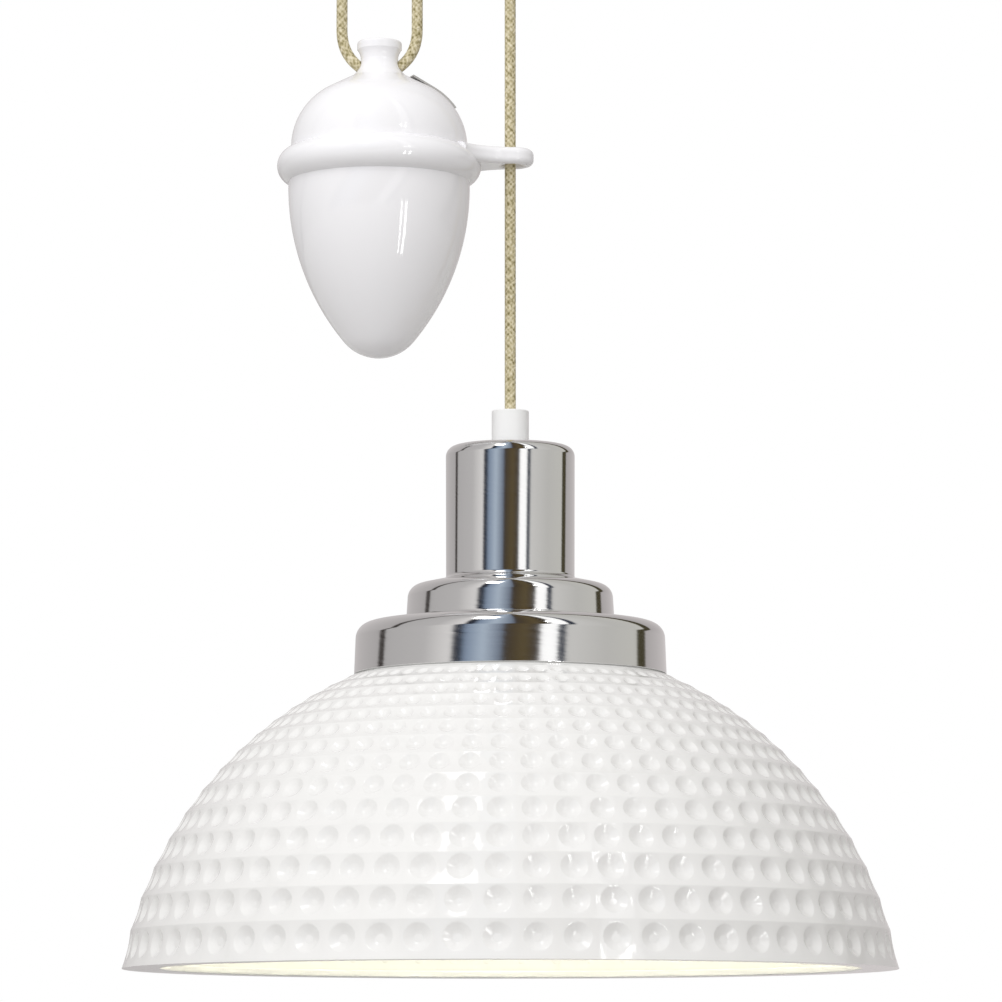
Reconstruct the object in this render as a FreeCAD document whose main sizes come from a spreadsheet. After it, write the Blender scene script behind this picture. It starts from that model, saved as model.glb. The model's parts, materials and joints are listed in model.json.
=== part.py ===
import FreeCAD, Part
import math
import os
import re

import Sketcher
from FreeCAD import Rotation, Vector

# Rise and fall pendant, in millimetres. Z is up, X runs to the right across the front and Y goes
# back. The origin is on the ceiling, at the middle of the ceiling plate.
#
# One cord does all the work. It starts at the terminal block in the ceiling rose, drops to the
# counterweight, turns through a curved bore in the weight's neck, climbs to the pulley, goes over it
# and down through the weight's guide ring to the lamp. The lamp therefore moves twice as far as the
# weight, and the other way.
#
# Lamp pieces are drawn from the rim plane of the shade, weight pieces from the face where the egg
# meets the cap. Their placements put them under the ceiling.

SIZES = {
    # where things hang
    "rim_drop": 650.0,
    "lamp_axis": 41.5,
    "weight_axis": -22.4,
    "weight_drop": 268.3,
    "pulley_drop": 78.0,
    # fits and clearances
    "close_gap": 0.05,
    "part_gap": 0.3,
    "seat_gap": 0.2,
    "cord_gap": 0.3,
    # braided cord
    "cord_radius": 2.7,
    "bore_bend_radius": 16.0,
    "loop_half_width": 18.4,
    "loop_entry_angle": 44.0,
    "tail_inset": 6.0,
    # ceiling plate and rose
    "plate_thickness": 2.5,
    "plate_screw_spacing": 70.0,
    "plate_screw_hole": 2.6,
    "cable_hole_radius": 8.0,
    "cable_hole_offset": -14.0,
    "tab_width": 16.0,
    "tab_length": 14.0,
    "tab_thickness": 2.5,
    "rose_radius": 62.0,
    "rose_height": 32.0,
    "rose_wall": 3.0,
    "rose_corner": 9.0,
    "rose_screw_radius": 2.0,
    "rose_screw_length": 8.0,
    "rose_screw_head_radius": 3.8,
    "rose_screw_head_height": 2.4,
    "rose_screw_drop": 8.0,
    "stem_radius": 5.0,
    "nut_flats": 14.0,
    "nut_height": 4.0,
    "stem_head_radius": 6.2,
    "stem_head_height": 4.0,
    # terminal block and its cord grip
    "block_length": 22.0,
    "block_width": 16.0,
    "block_height": 12.0,
    "block_way_radius": 1.6,
    "block_screw_radius": 1.4,
    "rose_grip_length": 18.0,
    "rose_grip_radius": 7.5,
    "rose_grip_tip_radius": 5.0,
    "grip_neck_radius": 5.0,
    "grip_neck_length": 9.0,
    # pulley
    "sheave_rim_radius": 27.5,
    "sheave_width": 12.0,
    "groove_lean": 12.0,
    "sheave_hub_radius": 9.0,
    "sheave_web": 4.0,
    "sheave_hole_radius": 2.6,
    "sheave_hole_count": 6,
    "bush_radius": 5.5,
    "axle_radius": 3.0,
    "axle_gap": 0.05,
    "axle_head_radius": 5.5,
    "axle_head_height": 2.0,
    "clip_radius": 4.8,
    "clip_thickness": 1.0,
    "yoke_plate": 2.5,
    "yoke_bend": 2.4,
    "yoke_side_gap": 0.5,
    "yoke_top_width": 22.0,
    "yoke_end_radius": 9.0,
    # counterweight egg
    "egg_radius": 44.2,
    "egg_shoulder": 2.4,
    "egg_height": 83.8,
    "egg_tip_radius": 22.0,
    "egg_wall": 5.0,
    # counterweight cap
    "bead_radius": 48.5,
    "bead_height": 16.5,
    "bead_curve": 8.7,
    "cap_radius": 43.0,
    "cap_bore_radius": 37.5,
    "dome_start": 17.5,
    "dome_curve": 32.8,
    "dome_slope": 27.0,
    "neck_waist_radius": 9.1,
    "neck_waist_height": 61.0,
    "neck_flare_radius": 10.0,
    "neck_rim_radius": 10.9,
    "neck_lip_height": 5.0,
    "neck_lip_curve": 7.9,
    "neck_band_height": 2.8,
    "neck_edge": 1.2,
    "cap_ceiling": 34.7,
    "cap_ceiling_curve": 14.0,
    "bore_gap": 0.8,
    # guide ring on the cap
    "ring_height": 12.3,
    "ring_thickness": 8.2,
    "ring_offset": 1.1,
    "ring_outer_radius": 10.3,
    "ring_hole_radius": 5.4,
    "ring_outer_edge": 3.0,
    "ring_hole_edge": 1.6,
    "arm_root_radius": 41.0,
    # inside the weight
    "ballast_gap": 0.4,
    "ballast_top": 22.7,
    "ballast_corner": 8.0,
    "tie_rod_radius": 4.0,
    "tie_rod_top": 44.2,
    "tie_rod_depth": 45.0,
    "insert_radius": 7.5,
    "insert_length": 11.0,
    "washer_radius": 12.0,
    "washer_thickness": 1.6,
    "tie_nut_flats": 13.0,
    "tie_nut_height": 6.5,
    "seal_inner_radius": 39.0,
    "seal_outer_radius": 42.0,
    "seal_thickness": 1.5,
    # blank plate on the weight's shoulder
    "tag_width": 18.0,
    "tag_thickness": 0.9,
    "tag_turn": 20.0,
    "tag_inner_radius": 14.2,
    # shade
    "dome_radius": 188.0,
    "dome_centre": -31.5,
    "shade_wall": 3.0,
    "lip_width": 17.9,
    "lip_thickness": 3.6,
    "shade_hole_radius": 52.0,
    "rim_band_angle": 5.63,
    "dimple_columns": 64,
    "row_stretch": 0.925,
    "least_row_angle": 3.2,
    # gallery
    "gallery_wall": 1.2,
    "upper_gasket_thickness": 1.45,
    "skirt_base_radius": 75.1,
    "skirt_lean": 0.8,
    "skirt_corner": 7.5,
    "skirt_height": 23.2,
    "skirt_slope": 2.0,
    "waist_base_radius": 50.2,
    "waist_lean": 1.0,
    "waist_corner": 6.5,
    "waist_height": 16.1,
    "waist_slope": 4.0,
    "neck_base_radius": 31.0,
    "neck_base_fillet": 1.8,
    "neck_head_radius": 31.2,
    "neck_height": 64.5,
    "neck_head_corner": 5.0,
    # lamp cord grip and nipple
    "lamp_grip_radius": 9.0,
    "lamp_grip_height": 17.4,
    "lamp_grip_edge": 0.6,
    "nipple_radius": 5.0,
    "nipple_bore": 3.6,
    "nipple_above": 7.0,
    "nipple_nut_height": 5.0,
    # lampholder
    "holder_cap_radius": 20.0,
    "holder_cap_height": 18.0,
    "holder_cap_wall": 2.2,
    "holder_cap_corner": 6.0,
    "holder_radius": 20.0,
    "holder_wall": 2.8,
    "holder_bore": 14.8,
    "contact_radius": 4.0,
    "contact_height": 3.5,
    "shell_outer_radius": 14.5,
    "shell_inner_radius": 13.6,
    "shell_length": 26.0,
    "shell_recess": 11.0,
    # what holds the shade to the lampholder
    "shade_ring_radius": 26.0,
    "shade_ring_height": 6.0,
    "carrier_drop": 40.7,
    "thread_end": 2.3,
    "carrier_wall": 1.2,
    "carrier_hub_radius": 28.0,
    "carrier_foot_radius": 49.5,
    "carrier_flange_radius": 62.0,
    "carrier_vent_radius": 4.5,
    "carrier_vent_count": 6,
    "gasket_thickness": 1.0,
    # lamp bulb
    "bulb_radius": 30.0,
    "bulb_length": 108.0,
    "bulb_wall": 1.0,
    "bulb_cap_radius": 13.2,
    "bulb_cap_length": 26.0,
    "bulb_neck_radius": 14.2,
    "bulb_tip_radius": 5.0,
}

doc = FreeCAD.newDocument("rise_and_fall_pendant")
sheet = doc.addObject("Spreadsheet::Sheet", "Sizes")
for row, (alias, value) in enumerate(SIZES.items(), start=1):
    sheet.set(f"A{row}", alias.replace("_", " "))
    sheet.set(f"B{row}", str(value))
    sheet.setAlias(f"B{row}", alias)
doc.recompute()

# Sizes that follow from others, written as expressions of the sheet
PULLEY_AXIS = "(lamp_axis + weight_axis + loop_half_width) / 2"
PITCH_RADIUS = "((lamp_axis - weight_axis - loop_half_width) / 2)"
FIXED_CORD = "(weight_axis - loop_half_width)"
GRIP_BORE = "(cord_radius + cord_gap)"
SHEAVE_HALF = "(sheave_width / 2)"
YOKE_INNER = "(sheave_width / 2 + yoke_side_gap)"
YOKE_OUTER = "(sheave_width / 2 + yoke_side_gap + yoke_plate)"
YOKE_WEB_BOTTOM = "(-rose_height - 2 * nut_height - yoke_plate)"
# heights in the lamp, each from the one before: the gallery's steps up from the shade, then the
# lampholder down from the gallery's head
SKIRT_BASE = ("(dome_centre + sqrt(dome_radius^2 - skirt_base_radius^2)"
              " + upper_gasket_thickness)")
SKIRT_TOP = f"({SKIRT_BASE} + skirt_height)"
WAIST_BASE = f"({SKIRT_TOP} + skirt_slope)"
WAIST_TOP = f"({WAIST_BASE} + waist_height)"
NECK_BASE = f"({WAIST_TOP} + waist_slope)"
NECK_HEAD = f"({NECK_BASE} + neck_height)"
HOLDER_TOP = f"({NECK_HEAD} - gallery_wall - nipple_nut_height)"
HOLDER_SEAM = f"({HOLDER_TOP} - holder_cap_height)"
CARRIER_SEAT = f"({HOLDER_SEAM} - carrier_drop)"
HOLDER_END = f"({CARRIER_SEAT} - shade_ring_height - thread_end)"
HOLDER_SHELF = f"({HOLDER_END} + shell_recess + shell_length)"
BULB_TOP = f"({HOLDER_SHELF} - contact_height)"
NECK_TOP = "(neck_waist_height + neck_lip_height + neck_band_height + neck_edge)"
CAP_SLOPE_START = "(cap_radius - dome_curve * (1 - cos(90 - dome_slope)))"
CAP_SLOPE_START_Z = "(dome_start + dome_curve * sin(90 - dome_slope))"
FLARE_RADIUS = "(neck_waist_radius + neck_flare_radius * (1 - cos(90 - dome_slope)))"
FLARE_Z = "(neck_waist_height - neck_flare_radius * sin(90 - dome_slope))"
HALF_TURN = 180  # degrees


def bound(text):
    """The expression with each size name pointing at its cell."""
    return re.sub(r"\b[a-z]+(?:_[a-z]+)+\b", lambda name: "Sizes." + name.group(0), text)


def number(text):
    return float(sheet.evalExpression(bound(text)))


def place(item, x="0", y="0", z="0"):
    for axis, text in zip("xyz", (x, y, z)):
        item.setExpression(f"Placement.Base.{axis}", bound(text))


def turn(item, axis, degrees):
    item.Placement.Rotation = Rotation(Vector(*axis), degrees)


# ---------------------------------------------------------------- sketches and bodies

def new_body(label):
    body = doc.addObject("PartDesign::Body", label)
    body.Label = label
    return body


def new_sketch(body, plane):
    sketch = body.newObject("Sketcher::SketchObject", f"{body.Label}_{plane.lower()}_outline")
    origin = next(item for item in body.Origin.OriginFeatures if item.Role == f"{plane}_Plane")
    sketch.AttachmentSupport = [(origin, "")]
    sketch.MapMode = "FlatFace"
    return sketch


def pin_point(sketch, edge, end, across, up):
    """Tie one end of an edge to its place, so that it follows the sheet."""
    for kind, text, axis in (("DistanceX", across, -2), ("DistanceY", up, -1)):
        if text == "0":
            sketch.addConstraint(Sketcher.Constraint("PointOnObject", edge, end, axis))
            continue
        index = sketch.addConstraint(Sketcher.Constraint(kind, -1, 1, edge, end, number(text)))
        sketch.setExpression(f"Constraints[{index}]", bound(text))


def draw(sketch, corners):
    """A closed outline. A corner is (across, up) or, where an arc leads to it from the corner before,
    (across, up, radius, side) with side 1 for an arc that bends to the left of the way it goes."""
    ends = []
    for index, corner in enumerate(corners):
        before = corners[index - 1]
        start = Vector(number(before[0]), number(before[1]), 0)
        end = Vector(number(corner[0]), number(corner[1]), 0)
        if len(corner) == 2:
            edge = sketch.addGeometry(Part.LineSegment(start, end), False)
            ends.append((edge, 1, 2))
            continue
        radius, side = number(corner[2]), corner[3]
        chord = end - start
        rise = math.sqrt(max(radius**2 - chord.Length**2 / 4, 0.0))
        normal = Vector(-chord.y, chord.x, 0).normalize() * side
        centre = (start + end) * 0.5 + normal * rise
        first, last = (start, end) if side > 0 else (end, start)
        angles = [math.atan2(p.y - centre.y, p.x - centre.x) for p in (first, last)]
        circle = Part.Circle(centre, Vector(0, 0, 1), radius)
        edge = sketch.addGeometry(Part.ArcOfCircle(circle, *angles), False)
        ends.append((edge, 1, 2) if side > 0 else (edge, 2, 1))
        index = sketch.addConstraint(Sketcher.Constraint("Radius", edge, radius))
        sketch.setExpression(f"Constraints[{index}]", bound(corner[2]))
    for index, (edge, _, last) in enumerate(ends):
        following, first, _ = ends[(index + 1) % len(ends)]
        sketch.addConstraint(Sketcher.Constraint("Coincident", edge, last, following, first))
        pin_point(sketch, edge, last, corners[index][0], corners[index][1])
    return sketch


def draw_circle(sketch, across, up, radius):
    centre = Vector(number(across), number(up), 0)
    edge = sketch.addGeometry(Part.Circle(centre, Vector(0, 0, 1), number(radius)), False)
    pin_point(sketch, edge, 3, across, up)
    index = sketch.addConstraint(Sketcher.Constraint("Radius", edge, number(radius)))
    sketch.setExpression(f"Constraints[{index}]", bound(radius))
    return edge


def spun(label, corners, axis="V_Axis"):
    """A body whose half section, drawn in the XZ plane, is turned about the axis."""
    body = new_body(label)
    sketch = draw(new_sketch(body, "XZ"), corners)
    turned = body.newObject("PartDesign::Revolution", f"{label}_turned")
    turned.Profile = sketch
    turned.ReferenceAxis = (sketch, [axis])
    turned.Angle = 360.0
    return body


def padded(body, sketch, length, name, midplane=True):
    pad = body.newObject("PartDesign::Pad", f"{body.Label}_{name}")
    pad.Profile = sketch
    pad.Midplane = midplane
    pad.setExpression("Length", bound(length))
    return pad


def cut_through(body, sketch, name):
    """A pocket through everything, both ways; the volume has to fall."""
    doc.recompute()
    before = body.Shape.Volume
    pocket = body.newObject("PartDesign::Pocket", f"{body.Label}_{name}")
    pocket.Profile = sketch
    pocket.Type = "ThroughAll"
    pocket.Midplane = True
    doc.recompute()
    if not body.Shape.Volume < before - 1e-3:
        raise RuntimeError(f"{body.Label}: {name} cuts nothing")
    return pocket


def ringed(body, feature, count, axis):
    """Copies of a cut, evenly spaced about one of the body's own axes."""
    ring = body.newObject("PartDesign::PolarPattern", f"{feature.Name}_ring")
    ring.Originals = [feature]
    line = next(item for item in body.Origin.OriginFeatures if item.Role == f"{axis}_Axis")
    ring.Axis = (line, [""])
    ring.Angle = 360.0
    ring.setExpression("Occurrences", bound(count))
    body.Tip = ring
    return ring


def rounded(body, radius, is_chosen, name):
    """A fillet on the edges that is_chosen picks."""
    doc.recompute()
    chosen = [f"Edge{n}" for n, edge in enumerate(body.Shape.Edges, start=1) if is_chosen(edge)]
    if not chosen:
        raise RuntimeError(f"{body.Label}: no edge to round for {name}")
    base = body.Tip
    fillet = body.newObject("PartDesign::Fillet", f"{body.Label}_{name}")
    fillet.Base = (base, chosen)
    fillet.setExpression("Radius", bound(radius))
    body.Tip = fillet
    doc.recompute()
    return fillet


def is_circle(edge, radius, height):
    """Whether an edge is the circle of this size about Z at this height."""
    return (
        isinstance(edge.Curve, Part.Circle)
        and abs(edge.Curve.Radius - radius) < 1e-4
        and abs(edge.Curve.Center.z - height) < 1e-4
    )


def add(kind, label, **texts):
    item = doc.addObject(kind, label)
    item.Label = label
    for name, text in texts.items():
        item.setExpression(name, bound(text))
    return item


def rod(label, radius, height, x="0", y="0", z="0", along=None):
    """A cylinder that stands on (x, y, z), along Z or turned to run along X or Y."""
    item = add("Part::Cylinder", label, Radius=radius, Height=height)
    if along == "Y":
        turn(item, (1, 0, 0), -90)
    if along == "X":
        turn(item, (0, 1, 0), 90)
    place(item, x, y, z)
    return item


def hexagon(label, flats, height, x="0", y="0", z="0"):
    item = add("Part::Prism", label, Circumradius=f"{flats} / sqrt(3)", Height=height)
    item.Polygon = 6
    place(item, x, y, z)
    return item


def minus(label, base, tool):
    cut = doc.addObject("Part::Cut", label)
    cut.Label = label
    cut.Base, cut.Tool = base, tool
    return cut


def joined(label, *pieces):
    fuse = doc.addObject("Part::MultiFuse", label)
    fuse.Label = label
    fuse.Shapes = list(pieces)
    return fuse


def grouped(label, *pieces):
    """Alike pieces that share a node and stay separate solids."""
    group = doc.addObject("Part::Compound", label)
    group.Label = label
    group.Links = list(pieces)
    return group


def nut(label, flats, height, bore, x="0", z="0"):
    body = hexagon(f"{label}_hexagon", flats, height, x, "0", z)
    hole = rod(f"{label}_bore", bore, height, x, "0", z)
    return minus(label, body, hole)


# ---------------------------------------------------------------- ceiling fitting

def make_ceiling_plate():
    """Steel plate against the ceiling, with two tabs bent down inside the rose."""
    tab_face = "(rose_radius - rose_wall - part_gap)"
    body = new_body("ceiling_plate")
    disc = new_sketch(body, "XY")
    draw_circle(disc, "0", "0", tab_face)
    draw_circle(disc, PULLEY_AXIS, "0", "stem_radius + close_gap")
    draw_circle(disc, "cable_hole_offset", "0", "cable_hole_radius")
    for side in ("", "-"):
        draw_circle(disc, "0", f"{side}plate_screw_spacing / 2", "plate_screw_hole")
    pad = padded(body, disc, "plate_thickness", "disc", midplane=False)
    pad.Reversed = True
    for name, side in (("front", "-"), ("back", "")):
        outer, inner = f"{side}{tab_face}", f"{side}({tab_face} - tab_thickness)"
        tab = new_sketch(body, "YZ")
        low = "(-tab_length)"
        draw(tab, [(inner, "0"), (inner, low), (outer, low), (outer, "0")])
        padded(body, tab, "tab_width", f"{name}_tab_pad")
    holes = new_sketch(body, "XZ")
    draw_circle(holes, "0", "-rose_screw_drop", "rose_screw_radius + close_gap")
    cut_through(body, holes, "tab_holes")
    # the disc and the tabs share one curved outer face, so nothing reaches past the rose's wall
    trim = rod("ceiling_plate_blank", tab_face, "tab_length", z="-tab_length")
    plate = doc.addObject("Part::Common", "ceiling_plate_trimmed")
    plate.Base, plate.Tool = body, trim
    body.Label = "ceiling_plate_body"
    plate.Label = "ceiling_plate"
    return plate


def make_ceiling_rose():
    """White cup that covers the plate and the wiring, open against the ceiling."""
    base, inner = "(-rose_height)", "(rose_radius - rose_wall)"
    body = spun("ceiling_rose", [
        ("0", base),
        ("rose_radius - rose_corner", base),
        ("rose_radius", f"{base} + rose_corner", "rose_corner", 1),
        ("rose_radius", "0"),
        (inner, "0"),
        (inner, f"{base} + rose_corner"),
        ("rose_radius - rose_corner", f"{base} + rose_wall", "rose_corner - rose_wall", -1),
        ("0", f"{base} + rose_wall"),
    ])
    holes = new_sketch(body, "XY")
    draw_circle(holes, PULLEY_AXIS, "0", "stem_radius + close_gap")
    draw_circle(holes, FIXED_CORD, "0", "grip_neck_radius + close_gap")
    cut_through(body, holes, "drop_holes")
    sides = new_sketch(body, "XZ")
    draw_circle(sides, "0", "-rose_screw_drop", "rose_screw_radius + close_gap")
    cut_through(body, sides, "side_holes")
    return body


def make_rose_screws():
    """Two round-headed screws through the rose's wall into the plate's tabs."""
    screws = []
    for name, side, degrees in (("front", "-", -90), ("back", "", 90)):
        body = new_body(f"rose_screw_{name}")
        half = [
            ("0", "0"),
            ("rose_screw_head_radius", "0"),
            ("rose_screw_head_radius * 0.55", "rose_screw_head_height",
             "rose_screw_head_height * 1.3", 1),
            ("0", "rose_screw_head_height"),
        ]
        head = draw(new_sketch(body, "XZ"), half)
        turned = body.newObject("PartDesign::Revolution", f"rose_screw_{name}_head")
        turned.Profile = head
        turned.ReferenceAxis = (head, ["V_Axis"])
        shank = new_sketch(body, "XY")
        draw_circle(shank, "0", "0", "rose_screw_radius")
        pad = padded(body, shank, "rose_screw_length", "shank", midplane=False)
        pad.Reversed = True
        slot = new_sketch(body, "YZ")
        top, floor = "rose_screw_head_height", "rose_screw_head_height / 2"
        draw(slot, [("-0.5", floor), ("0.5", floor), ("0.5", f"{top} + 1"), ("-0.5", f"{top} + 1")])
        cut_through(body, slot, "slot_cut")
        turn(body, (1, 0, 0), -degrees)
        place(body, "0", f"{side}rose_radius", "-rose_screw_drop")
        screws.append(body)
    return grouped("rose_screws", *screws)


def make_pulley_stem():
    """Threaded stem from the plate, through the rose and the yoke's web, with its head below."""
    shank_bottom = f"({YOKE_WEB_BOTTOM})"
    shank = rod("pulley_stem_shank", "stem_radius", f"-part_gap - {shank_bottom}",
                PULLEY_AXIS, "0", shank_bottom)
    head = rod("pulley_stem_head", "stem_head_radius", "stem_head_height",
               PULLEY_AXIS, "0", f"{shank_bottom} - stem_head_height")
    return joined("pulley_stem", shank, head)


def make_stem_nuts():
    """A nut under the plate, and two that lock the yoke against the rose."""
    heights = ["-plate_thickness - nut_height", "-rose_height - nut_height",
               "-rose_height - 2 * nut_height"]
    return grouped("stem_nuts", *[
        nut(f"stem_nut_{index}", "nut_flats", "nut_height", "stem_radius + close_gap",
            PULLEY_AXIS, height)
        for index, height in enumerate(heights, start=1)
    ])


def make_pulley_yoke():
    """Steel strap bent into a fork: a web under the nuts and two tapered cheeks."""
    body = new_body("pulley_yoke")
    web_top = "(-rose_height - 2 * nut_height)"
    strap = new_sketch(body, "YZ")
    low = "(-pulley_drop - yoke_end_radius)"
    shoulder, bend_start = f"({YOKE_OUTER} - yoke_bend)", f"({web_top} - yoke_bend)"
    draw(strap, [
        (YOKE_OUTER, low), (YOKE_OUTER, bend_start), (shoulder, web_top, "yoke_bend", 1),
        (f"-{shoulder}", web_top), (f"-{YOKE_OUTER}", bend_start, "yoke_bend", 1),
        (f"-{YOKE_OUTER}", low), (f"-{YOKE_INNER}", low), (f"-{YOKE_INNER}", YOKE_WEB_BOTTOM),
        (YOKE_INNER, YOKE_WEB_BOTTOM), (YOKE_INNER, low),
    ])
    padded(body, strap, "yoke_top_width + 10", "strap")
    side = new_sketch(body, "XZ")
    half, end = "(yoke_top_width / 2)", "yoke_end_radius"
    high = "(-pulley_drop + 4)"
    far = "(yoke_top_width + 20)"
    # the waste around the cheeks' tapered, round-ended outline
    draw(side, [
        (far, web_top), (half, web_top), (end, high), (end, "-pulley_drop"),
        ("0", low, end, -1), (f"-{end}", "-pulley_drop", end, -1),
        (f"-{end}", high), (f"-{half}", web_top), (f"-{far}", web_top),
        (f"-{far}", f"{low} - 5"), (far, f"{low} - 5"),
    ])
    cut_through(body, side, "cheek_outline")
    holes = new_sketch(body, "XZ")
    draw_circle(holes, "0", "-pulley_drop", "axle_radius + close_gap")
    cut_through(body, holes, "axle_hole")
    top = new_sketch(body, "XY")
    draw_circle(top, "0", "0", "stem_radius + close_gap")
    cut_through(body, top, "stem_hole")
    place(body, PULLEY_AXIS)
    return body


def make_pulley_axle():
    """Pin through both cheeks, with a domed head in front."""
    body = new_body("pulley_axle")
    front = f"(-({YOKE_OUTER}))"
    back = f"({YOKE_OUTER} + 2 * clip_thickness)"
    sketch = draw(new_sketch(body, "XY"), [
        ("0", f"{front} - axle_head_height"),
        ("axle_head_radius * 0.6", f"{front} - axle_head_height"),
        ("axle_head_radius", front, "axle_head_height * 1.6", 1),
        ("axle_radius", front), ("axle_radius", back), ("0", back),
    ])
    turned = body.newObject("PartDesign::Revolution", "pulley_axle_turned")
    turned.Profile = sketch
    turned.ReferenceAxis = (sketch, ["V_Axis"])
    place(body, PULLEY_AXIS, "0", "-pulley_drop")
    return body


def make_axle_clip():
    """Spring clip behind the rear cheek, open on one side."""
    ring = rod("axle_clip_ring", "clip_radius", "clip_thickness", PULLEY_AXIS, YOKE_OUTER,
               "-pulley_drop", along="Y")
    hole = rod("axle_clip_hole", "axle_radius + close_gap", "clip_thickness", PULLEY_AXIS,
               YOKE_OUTER, "-pulley_drop", along="Y")
    mouth = add("Part::Box", "axle_clip_mouth", Length="axle_radius * 1.4",
                Width="clip_thickness", Height="clip_radius + 1")
    place(mouth, f"{PULLEY_AXIS} - axle_radius * 0.7", YOKE_OUTER,
          "-pulley_drop - clip_radius - 1")
    return minus("axle_clip", minus("axle_clip_open", ring, hole), mouth)


def make_ceiling_pulley():
    """Grooved sheave: a hub, a thin web with holes and a rim whose groove fits the cord."""
    body = new_body("ceiling_pulley")
    groove = "(cord_radius + cord_gap)"
    web, hub_face = "sheave_web / 2", SHEAVE_HALF
    rim_inner = f"({PITCH_RADIUS} - {groove} - 3)"
    # the groove's walls lean outwards from its round floor
    wall_foot = f"({PITCH_RADIUS} - {groove} * sin(groove_lean))"
    wall_top = (f"({groove} * cos(groove_lean)"
                f" + (sheave_rim_radius - {wall_foot}) * tan(groove_lean))")
    half = [
        (hub_face, "bush_radius + close_gap"),
        (hub_face, "sheave_hub_radius"),
        (web, "sheave_hub_radius"),
        (web, rim_inner),
        (hub_face, rim_inner),
        (hub_face, "sheave_rim_radius"),
        (wall_top, "sheave_rim_radius"),
        (f"{groove} * cos(groove_lean)", wall_foot),
        (f"-{groove} * cos(groove_lean)", wall_foot, groove, -1),
        (f"-{wall_top}", "sheave_rim_radius"),
        (f"-{hub_face}", "sheave_rim_radius"),
        (f"-{hub_face}", rim_inner),
        (f"-{web}", rim_inner),
        (f"-{web}", "sheave_hub_radius"),
        (f"-{hub_face}", "sheave_hub_radius"),
        (f"-{hub_face}", "bush_radius + close_gap"),
    ]
    # drawn with the axis across the sketch, so that the sheave turns about Y
    sketch = draw(new_sketch(body, "XY"), [(c[1], c[0]) + ((c[2], 1) if len(c) > 2 else ())
                                          for c in half])
    turned = body.newObject("PartDesign::Revolution", "ceiling_pulley_turned")
    turned.Profile = sketch
    turned.ReferenceAxis = (sketch, ["V_Axis"])
    hole = new_sketch(body, "XZ")
    draw_circle(hole, f"(sheave_hub_radius + {rim_inner}) / 2", "0", "sheave_hole_radius")
    pocket = cut_through(body, hole, "web_hole")
    ringed(body, pocket, "sheave_hole_count", "Y")
    place(body, PULLEY_AXIS, "0", "-pulley_drop")
    return body


def make_pulley_bush():
    """Brass bush pressed into the sheave's hub."""
    outer = rod("pulley_bush_blank", "bush_radius", "sheave_width", PULLEY_AXIS,
                "-sheave_width / 2", "-pulley_drop", along="Y")
    bore = rod("pulley_bush_bore", "axle_radius + axle_gap", "sheave_width", PULLEY_AXIS,
               "-sheave_width / 2", "-pulley_drop", along="Y")
    return minus("pulley_bush", outer, bore)


def make_rose_cord_grip():
    """Tapered strain relief under the rose, its threaded neck inside."""
    base = "(-rose_height)"
    neck_top = f"({base} + grip_neck_length)"
    tip = f"({base} - rose_grip_length)"
    body = spun("rose_cord_grip", [
        (GRIP_BORE, tip), ("rose_grip_tip_radius", tip),
        ("rose_grip_radius", f"{base} - rose_grip_length * 0.55"), ("rose_grip_radius", base),
        ("grip_neck_radius", base), ("grip_neck_radius", neck_top), (GRIP_BORE, neck_top),
    ])
    place(body, FIXED_CORD)
    return body


def make_grip_nut():
    """Nut inside the rose that holds the cord grip."""
    return nut("grip_nut", "nut_flats", "nut_height", "grip_neck_radius + close_gap",
               FIXED_CORD, "-rose_height + rose_wall")


def make_terminal_block():
    """Three-way screw terminal under the plate, above the cord grip."""
    low = "(-plate_thickness - block_height)"
    left = f"({FIXED_CORD} - block_length / 2)"
    block = add("Part::Box", "terminal_block_blank", Length="block_length", Width="block_width",
                Height="block_height")
    place(block, left, "-block_width / 2", low)
    ways = []
    for index in (-1, 0, 1):
        x = f"{FIXED_CORD} + block_length * {0.3 * index}"
        ways.append(rod(f"terminal_way_{index + 2}", "block_way_radius", "block_width", x,
                        "-block_width / 2", f"{low} + block_height * 0.6", along="Y"))
        ways.append(rod(f"terminal_screw_hole_{index + 2}", "block_screw_radius",
                        "block_height / 2", x, "-block_width / 4", low))
    return minus("terminal_block", block, joined("terminal_holes", *ways))


# ---------------------------------------------------------------- counterweight

def egg_arcs(inset):
    """The egg's half outline from its shoulder to its tip: a long side arc and a tip arc that
    meet in one tangent. inset moves both inwards."""
    tip_z = "(-egg_shoulder - egg_height)"
    tip = "egg_tip_radius"
    side = (f"((egg_radius^2 + (egg_height - {tip})^2 - {tip}^2)"
            f" / (2 * (egg_radius - {tip})))")
    reach = f"(({tip} - ({inset})) / ({side} - {tip}))"
    meet_r = f"({reach} * ({side} - egg_radius))"
    meet_z = f"({tip_z} + {tip} - {reach} * (egg_height - {tip}))"
    shoulder = (f"(egg_radius - ({inset}))", "(-egg_shoulder)")
    return [shoulder, (meet_r, meet_z, f"{side} - ({inset})", -1),
            ("0", f"{tip_z} + ({inset})", f"{tip} - ({inset})", -1)]


def make_weight_egg():
    """Glazed egg, hollow for the ballast, its rim flat where the cap sits."""
    outside, inside = egg_arcs("0"), egg_arcs("egg_wall")
    corners = [("egg_radius", "0"), outside[0], outside[1], outside[2]]
    corners += [("0", inside[2][1])]
    corners += [(inside[1][0], inside[1][1], inside[2][2], 1)]
    corners += [(inside[0][0], inside[0][1], inside[1][2], 1), (inside[0][0], "0")]
    body = spun("weight_egg", corners)
    place(body, "weight_axis", "0", "-weight_drop")
    return body


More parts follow.
